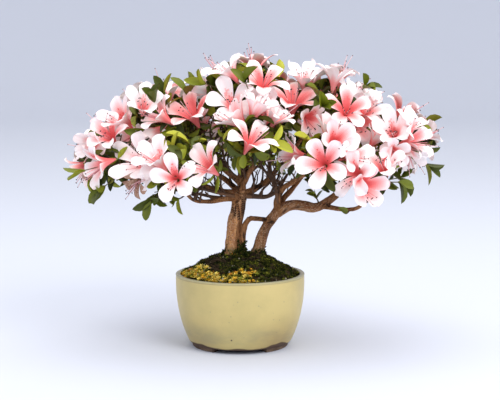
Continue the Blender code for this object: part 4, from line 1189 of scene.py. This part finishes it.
for name, limb in THIN_LIMBS.items():
    path = [crooked(point, i / 18) for i, point in enumerate(catmull_rom(limb["path"], 6))]
    add_tube(twig_heap, path, np.linspace(*limb["radii"], len(path)), 8, [1] * 6 + [0] * (len(path) - 7))
for name, bough in {**BOUGHS, **THIN_LIMBS}.items():
    rng = random.Random(f"{name} spurs")
    path = catmull_rom(bough["path"], 6)
    line = frames_along(path)
    length = sum((b - a).length for a, b in zip(path, path[1:]))
    for _ in range(int(length / SPUR_EVERY)):
        point, side, tangent = line[int(rng.uniform(0.22, 0.98) * (len(line) - 1))]
        if point.x > BARE_FROM_X and point.z < BARE_BELOW_Z:
            continue
        angle = rng.uniform(0, 2 * math.pi)
        heading = side * math.cos(angle) + tangent.cross(side) * math.sin(angle) + tangent * 0.5
        heading = (heading.normalized() + Vector((0, 0, 0.9))).normalized()
        path, radii = [point], [rng.uniform(0.7, 1.7)]
        for _ in range(rng.choice(SPUR_KNOTS)):
            heading = (heading + shaken(rng, 0.5) + Vector((0, 0, 0.15))).normalized()
            ahead = path[-1] + heading * rng.uniform(6, 14)
            if len(path) > 1 and is_blocked(path[-1], ahead + heading * 2):
                break
            path.append(ahead)
            radii.append(max(0.5, radii[-1] * 0.85))
        if len(path) < 3:
            continue
        fine, thickness = smoothed(path, radii, 2)
        add_tube(twig_heap, fine, thickness, 5, [0] * (len(fine) - 1))
        ends = [(path[-1], (path[-1] - path[-2]))]
        for knot, before in zip(path[1:-1], path):
            if rng.random() < BARE_KNOTS:
                continue
            out = ((knot - before).normalized() + shaken(rng, 1)).normalized()
            tip = knot + out * rng.uniform(6, 13)
            if not is_blocked(knot + out, tip):
                middle = knot.lerp(tip, 0.5) + Vector((0, 0, 0.8))
                add_tube(twig_heap, [knot, middle, tip], [0.6, 0.55, 0.45], 4, [1, 1])
                ends.append((tip, tip - knot))
        for tip, way in ends:
            if tip.z > SPUR_LEAF_FLOOR and rng.random() < SPUR_LEAF_SHARE:
                shoots.append(({"kind": "spur", "shell": 0.5}, tip, way.normalized(), way.length))

for start, end, bends, number, lengths in LOOSE_SHOOTS:
    rng = random.Random(f"hanging {start}")
    path = [Vector(start).lerp(Vector(end), i / bends) + shaken(rng, 2) * min(i, 1) for i in range(bends + 1)]
    add_tube(twig_heap, catmull_rom(path, 2), np.linspace(1.1, 0.6, 2 * bends + 1), 5, [0] * 2 * bends)
    for before, tip in zip(path[bends // 2:], path[bends // 2 + 1:]):
        shoot = {"kind": "loose", "shell": 0.5, "number": number, "lengths": lengths}
        shoots.append((shoot, tip, (tip - before).normalized(), (tip - before).length))
twigs = add_joined("twigs", twig_heap, TWIG_FINISHES)
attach(twigs, "root")
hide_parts(*MASSES)


# Leaves
# Small leathery ovals, folded along the rib, in whorls under each bloom and at each leafy tip.
# Most are dark, and those deep in the crown darkest of all, which is painted shade; the young
# ones are yellow green, and a few old ones have turned orange.
CROWDED_FROM, CROWDED_BACK_TO = 72.0, 15.0
LEAF_TRIES, BLOCKED_WAY, LEAF_WIDTHS = 10, 6, (0.36, 0.48)
YOUNG_SHARE, ORANGE_SHARE = 0.18, 0.08
# The half width of a leaf along its rib, and the fold, droop and twist of each form.
LEAF_AT, LEAF_HALF_WIDTH = (0.0, 0.10, 0.28, 0.52, 0.76, 0.93), (0.03, 0.20, 0.41, 0.50, 0.42, 0.21)
LEAF_SHAPES = ((0.35, 0.10, 0.1), (0.5, 0.2, -0.15), (0.25, 0.28, 0.2), (0.6, 0.05, 0.0), (0.4, -0.08, 0.25))
LEAF_TONES = {
    "leaf_painted_shade": ((0.032, 0.045, 0.004), 0.5),
    "leaf_dark": ((0.075, 0.094, 0.006), 0.48),
    "leaf_green": ((0.15, 0.175, 0.010), 0.48),
    "leaf_bright": ((0.265, 0.29, 0.017), 0.48),
    "leaf_young": ((0.46, 0.46, 0.04), 0.5),
    "leaf_orange": ((0.50, 0.16, 0.02), 0.5),
}
LEAF_FINISHES = [plain(name, *tone, Specular_IOR_Level=0.3) for name, tone in LEAF_TONES.items()]


def leaf_form(fold, droop, twist):
    """A unit leaf, one long and one wide, growing along +Y with its face to +Z."""
    points = [(side * w, y, abs(side) * w * fold - droop * y * y + side * w * twist * y)
              for y, w in zip(LEAF_AT, LEAF_HALF_WIDTH) for side in (-1, 0, 1)]
    tip = len(points)
    points.append((0, 1, -droop))
    end = np.array([(tip - 3, tip - 2, tip), (tip - 2, tip - 1, tip)])
    return np.array(points), grid_faces(len(LEAF_AT), 3), end


LEAF_FORMS = [leaf_form(*shape) for shape in LEAF_SHAPES]
leaf_heap = Heap()
leaf_rng = random.Random("leaves")


def grow_leaves(spot, knot, heading, reach, count, palette, lengths, lifts):
    """A whorl of leaves round the end of a shoot, each aimed clear of petals and wood.

    A leaf with no clear way is left out, but on a tip that stands out it takes its clearest way.
    """
    turn = turned_to(heading, leaf_rng.uniform(0, 2 * math.pi))
    for i in range(count):
        root = knot - heading * min(1.9 * (i + 0.3), reach * 0.8)
        best = None
        for _ in range(LEAF_TRIES):
            angle = GOLDEN * i + leaf_rng.uniform(-0.6, 0.6)
            direction = (turn @ around(angle, 1.0, leaf_rng.uniform(*lifts))).normalized()
            length = leaf_rng.uniform(*lengths)
            width = length * leaf_rng.uniform(*LEAF_WIDTHS)
            across = direction.cross(heading).normalized()
            normal = across.cross(direction)
            points, body, end = leaf_rng.choice(LEAF_FORMS)
            placed = points @ np.array([across * width, direction * length, normal * length]) + np.array(root)
            blade = BVHTree.FromPolygons(placed.tolist(), body.tolist() + end.tolist())
            crossings = len(blade.overlap(petal_tree))
            crossings += BLOCKED_WAY if is_blocked(root, root + direction * length) else 0
            if best is None or crossings < best[0]:
                best = (crossings, placed, body, end)
            if crossings == 0:
                break
        crossings, placed, body, end = best
        if crossings == 0 or spot["shell"] > 1.0:
            slot = leaf_rng.choice(palette)
            leaf_heap.add(placed, body, slot)
            leaf_heap.add_faces(end, slot, len(placed))


# There are fewer leaves at the two sides of the crown's front, where the blooms crowd together.
for spot, *shoot in shoots:
    knot = shoot[0]
    fewer = 2 if abs(knot.x - CROWN_HEART.x) > CROWDED_FROM and knot.y < CROWDED_BACK_TO else 0
    if spot["kind"] == "bloom":
        number = max(1, leaf_rng.choice((2, 3, 4)) - fewer)
        grow_leaves(spot, *shoot, number, (1, 2, 2, 3, 3), (16, 25), (-0.1, 0.5))
    elif spot["kind"] == "spur":
        grow_leaves(spot, *shoot, leaf_rng.choice((2, 3, 4)), (1, 2, 3, 3, 4), (8, 15), (0.2, 1.2))
    elif spot["kind"] == "loose":
        grow_leaves(spot, *shoot, spot["number"], (1, 2, 2, 3), spot["lengths"], (0.3, 1.4))
    elif spot["shell"] > 1.0:
        grow_leaves(spot, *shoot, leaf_rng.choice((2, 3, 3)), (1, 2, 2, 3), (21, 28), (0.9, 2.4))
    elif spot["shell"] > 0.9:
        palette = (4, 4, 3, 3) if leaf_rng.random() < YOUNG_SHARE else (1, 1, 2, 3)
        grow_leaves(spot, *shoot, leaf_rng.choice((4, 5, 6)) - fewer, palette, (17, 30), (0.2, 1.0))
    else:
        # Leaves deep in the crown take mostly the darkest tone: painted shade of the crown's inside.
        palette = (5, 2, 1) if leaf_rng.random() < ORANGE_SHARE else (0, 0, 1, 1, 2, 3)
        grow_leaves(spot, *shoot, leaf_rng.choice((4, 5, 6)) - fewer, palette, (15, 25), (0.0, 0.9))
leaves = add_joined("leaves", leaf_heap, LEAF_FINISHES)
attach(leaves, "root")
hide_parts(*MASSES)


# Blossom
# White petals with a coral pink throat that fades out along each lobe, with darker flecks on
# the upper one. How far the pink runs differs from bloom to bloom. Each tint also glows a little
# in its own colour: a painted glow that stands in for light coming through the thin petals.
TINTS, PAINTED_GLOW, VEINS, VEIN_DEPTH, FRONT_TO = 30, 0.13, 10, 0.035, 8
TINT_KEYS = ((0.0, (0.89, 0.825, 0.82)), (0.15, (0.90, 0.765, 0.76)), (0.35, (0.91, 0.595, 0.585)),
             (0.6, (0.90, 0.385, 0.375)), (0.8, (0.86, 0.23, 0.225)), (1.0, (0.74, 0.13, 0.13)))
PINKS = (0.0, 0.1, 0.2, 0.3, 0.4, 0.5, 0.65, 0.85)
FLECKS_FROM, FLECKS_TO, FLECKS_SHARE, FLECK_DEPTH = 0.04, 0.42, 0.3, 0.35
key_at = [key for key, _ in TINT_KEYS]
PETAL_FINISHES = []
for i in range(TINTS):
    tone = [float(np.interp(i / (TINTS - 1), key_at, [value[c] for _, value in TINT_KEYS])) for c in range(3)]
    # The emission is painted glow for light through the petals; the petals are no lamp.
    PETAL_FINISHES.append(plain(f"petal_tint_{i}", tone, 0.5, Emission_Color=(*tone, 1),
                                Emission_Strength=PAINTED_GLOW))
PETAL_FINISHES.append(plain("petal_withered", (0.44, 0.23, 0.15), 0.8))
PETAL_FINISHES.append(plain("petal_browned", (0.62, 0.40, 0.28), 0.7))
front_heap, back_heap = Heap(), Heap()
tint_rng = random.Random("tints")
scatter = np.random.default_rng(7)
for spot in bloom_spots:
    points, faces, reaches = FORMS[spot["form"]]
    pink = spot["pink"] if spot["pink"] is not None else tint_rng.choice(PINKS)
    on_lobe = len(faces) // LOBES
    lobe = np.arange(len(faces)) // on_lobe
    shade = 1 - eased((reaches + 0.16 - 0.22 * pink) / (0.66 + 0.40 * pink))
    veins = scatter.uniform(-VEIN_DEPTH, VEIN_DEPTH, (LOBES, 1, VEINS))
    veins = np.broadcast_to(veins, (LOBES, on_lobe // VEINS, VEINS)).ravel()
    shade = shade * (0.80 + 0.18 * pink) + 0.02 + 0.15 * pink + veins
    tops = np.array([(spot["turn"] @ around(i * 2 * math.pi / LOBES)).z for i in range(LOBES)])
    shade = shade * (1 + 0.22 * tops[lobe])
    flecks = (lobe == int(np.argmax(tops))) & (reaches > FLECKS_FROM) & (reaches < FLECKS_TO)
    flecks &= scatter.random(len(faces)) < FLECKS_SHARE
    shade = np.where(flecks, shade + FLECK_DEPTH, shade)
    slots = np.clip(np.round(shade * (TINTS - 1)), 0, TINTS - 1).astype(int)
    if pink == WITHERED:
        slots = TINTS + (scatter.random(len(faces)) > 0.4 + 0.4 * reaches)
    heap = front_heap if spot["point"].y < FRONT_TO else back_heap
    heap.add(placed_points(points, spot["turn"], spot["radius"], spot["point"]), faces, slots)
for name, heap in (("petals_front", front_heap), ("petals_back", back_heap)):
    petals = add_joined(name, heap, PETAL_FINISHES)
    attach(petals, "root")
    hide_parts(*MASSES)


# Stamens and pistils
# In each bloom five pink stamens with near-black anthers lean out together over the lower
# lobes, with one longer pistil, and a small green calyx holds the tube.
HEART_FINISHES = [
    plain("filament", (0.78, 0.30, 0.32), 0.5),
    plain("anther", (0.03, 0.014, 0.016), 0.6),
    plain("stigma", (0.16, 0.05, 0.03), 0.5),
    plain("calyx", (0.16, 0.22, 0.05), 0.6),
    plain("pistil", (0.85, 0.55, 0.55), 0.5),
]
STAMEN_ROOT, STIGMA, ANTHER = -0.62, (0.85, 0.85, 0.6), (0.75, 0.75, 1.35)
heart_heap = Heap()
heart_rng = random.Random("hearts")
for spot in bloom_spots:
    turn, radius = spot["turn"], spot["radius"]
    down = turn.transposed() @ Vector((0, 0, -1))
    lean = math.atan2(down.y, down.x) + heart_rng.uniform(-0.5, 0.5)
    for i in range(6):
        is_pistil = i == 5
        sway = heart_rng.uniform(-0.2, 0.2) if is_pistil else (i - 2) * 0.26 + heart_rng.uniform(-0.1, 0.1)
        angle = lean + sway
        far = heart_rng.uniform(*((0.42, 0.60) if is_pistil else (0.24, 0.48)))
        tall = heart_rng.uniform(*((0.62, 0.88) if is_pistil else (0.26, 0.58)))
        line = []
        for t in (0, 0.3, 0.6, 0.85, 1.0):
            local = Vector((math.cos(angle) * far * t ** 1.2, math.sin(angle) * far * t ** 1.2,
                            STAMEN_ROOT + (tall - STAMEN_ROOT) * (0.75 * t + 0.25 * t * t)))
            line.append(spot["point"] + turn @ local * radius)
        thick, tone, tip_tone = (0.48, 4, 2) if is_pistil else (0.40, 0, 1)
        add_tube(heart_heap, line, [thick, thick, thick, thick * 0.9, thick * 0.8], 3, [tone] * 4)
        heading = (line[-1] - line[-2]).normalized()
        across = turned_to(heading if is_pistil else heading.orthogonal().normalized(), 0)
        knob = np.array(CRUMB) * (STIGMA if is_pistil else ANTHER)
        heart_heap.add(knob @ np.array(across).T + np.array(line[-1]), CRUMB_FACES, tip_tone)
    heel = spot["point"] - spot["facing"] * radius * 0.81
    for i in range(LOBES):
        angle = i * 2 * math.pi / LOBES
        out = turn @ around(angle)
        side = turn @ Vector((-math.sin(angle), math.cos(angle), 0))
        tip = heel + out * 2.2 + spot["facing"] * 3.6
        belly = heel + out * 1.9 + spot["facing"] * 1.2
        heart_heap.add_blades((heel, belly + side * 1.1, tip, belly - side * 1.1), 3)
hearts = add_joined("stamens", heart_heap, HEART_FINISHES)
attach(hearts, "root")
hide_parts(*MASSES)


# Stage, lights and camera
# A plain pale floor that curves up all round into a low wall, soft light from above and from
# the front right, and a long lens from a little above the rim of the pot.
FLOOR_RADIUS, COVE_RADIUS, WALL_HEIGHT, COVE_STEPS = 4.5, 1.6, 2.4, 10
FLOOR_COLOUR, SKY_COLOUR, SKY_STRENGTH = (0.615, 0.64, 0.718), (0.93, 0.94, 0.97, 1), 1.11
LENS, SENSOR_WIDTH, CAMERA_SPOT, CAMERA_PITCH = 97.92, 36, (-0.0081, -1.5835, 0.356), 6.75
# Each light's name, place, width and power.
LIGHTS = (
    ("key", (1.3, -1.9, 1.9), 1.4, 41),
    ("top", (0.1, -0.2, 2.3), 2.2, 25),
    ("fill", (-1.9, -1.5, 0.9), 2.0, 3),
)
LIT_SPOT = Vector((0, 0, 0.18))
bpy.ops.object.select_all(action="DESELECT")
bpy.ops.mesh.primitive_circle_add(vertices=96, radius=FLOOR_RADIUS, fill_type="NGON")
floor = bpy.context.object
floor.name = "floor"
bpy.ops.object.mode_set(mode="EDIT")
bpy.ops.mesh.select_mode(type="EDGE")
bpy.ops.mesh.select_all(action="SELECT")
bpy.ops.mesh.region_to_loop()
profile = [(FLOOR_RADIUS + COVE_RADIUS * math.sin(a), COVE_RADIUS * (1 - math.cos(a)))
           for a in np.linspace(0, math.pi / 2, COVE_STEPS + 1)]
profile.append((profile[-1][0], WALL_HEIGHT))
for (r0, z0), (r1, z1) in zip(profile, profile[1:]):
    bpy.ops.mesh.extrude_edges_move(TRANSFORM_OT_translate={"value": (0, 0, z1 - z0)})
    bpy.ops.transform.resize(value=(r1 / r0, r1 / r0, 1), center_override=(0, 0, z1))
bpy.ops.object.mode_set(mode="OBJECT")
bpy.ops.object.shade_smooth_by_angle(angle=math.radians(30))
floor.data.materials.append(plain("pale_floor", FLOOR_COLOUR, 0.9))

for name, spot, size, power in LIGHTS:
    lamp = bpy.data.lights.new(name, "AREA")
    lamp.size = size
    lamp.energy = power
    holder = bpy.data.objects.new(name, lamp)
    holder.location = spot
    holder.rotation_euler = (LIT_SPOT - Vector(spot)).to_track_quat("-Z", "Y").to_euler()
    bpy.context.scene.collection.objects.link(holder)
world = bpy.data.worlds.new("studio")
world.use_nodes = True
sky = world.node_tree.nodes["Background"]
sky.inputs["Color"].default_value = SKY_COLOUR
sky.inputs["Strength"].default_value = SKY_STRENGTH
bpy.context.scene.world = world
bpy.context.scene.view_settings.view_transform = "Standard"

lens = bpy.data.cameras.new("camera")
lens.lens = LENS
lens.sensor_width = SENSOR_WIDTH
camera = bpy.data.objects.new("camera", lens)
camera.location = CAMERA_SPOT
camera.rotation_euler = (math.radians(90 - CAMERA_PITCH), 0, 0)
bpy.context.scene.collection.objects.link(camera)
bpy.context.scene.camera = camera
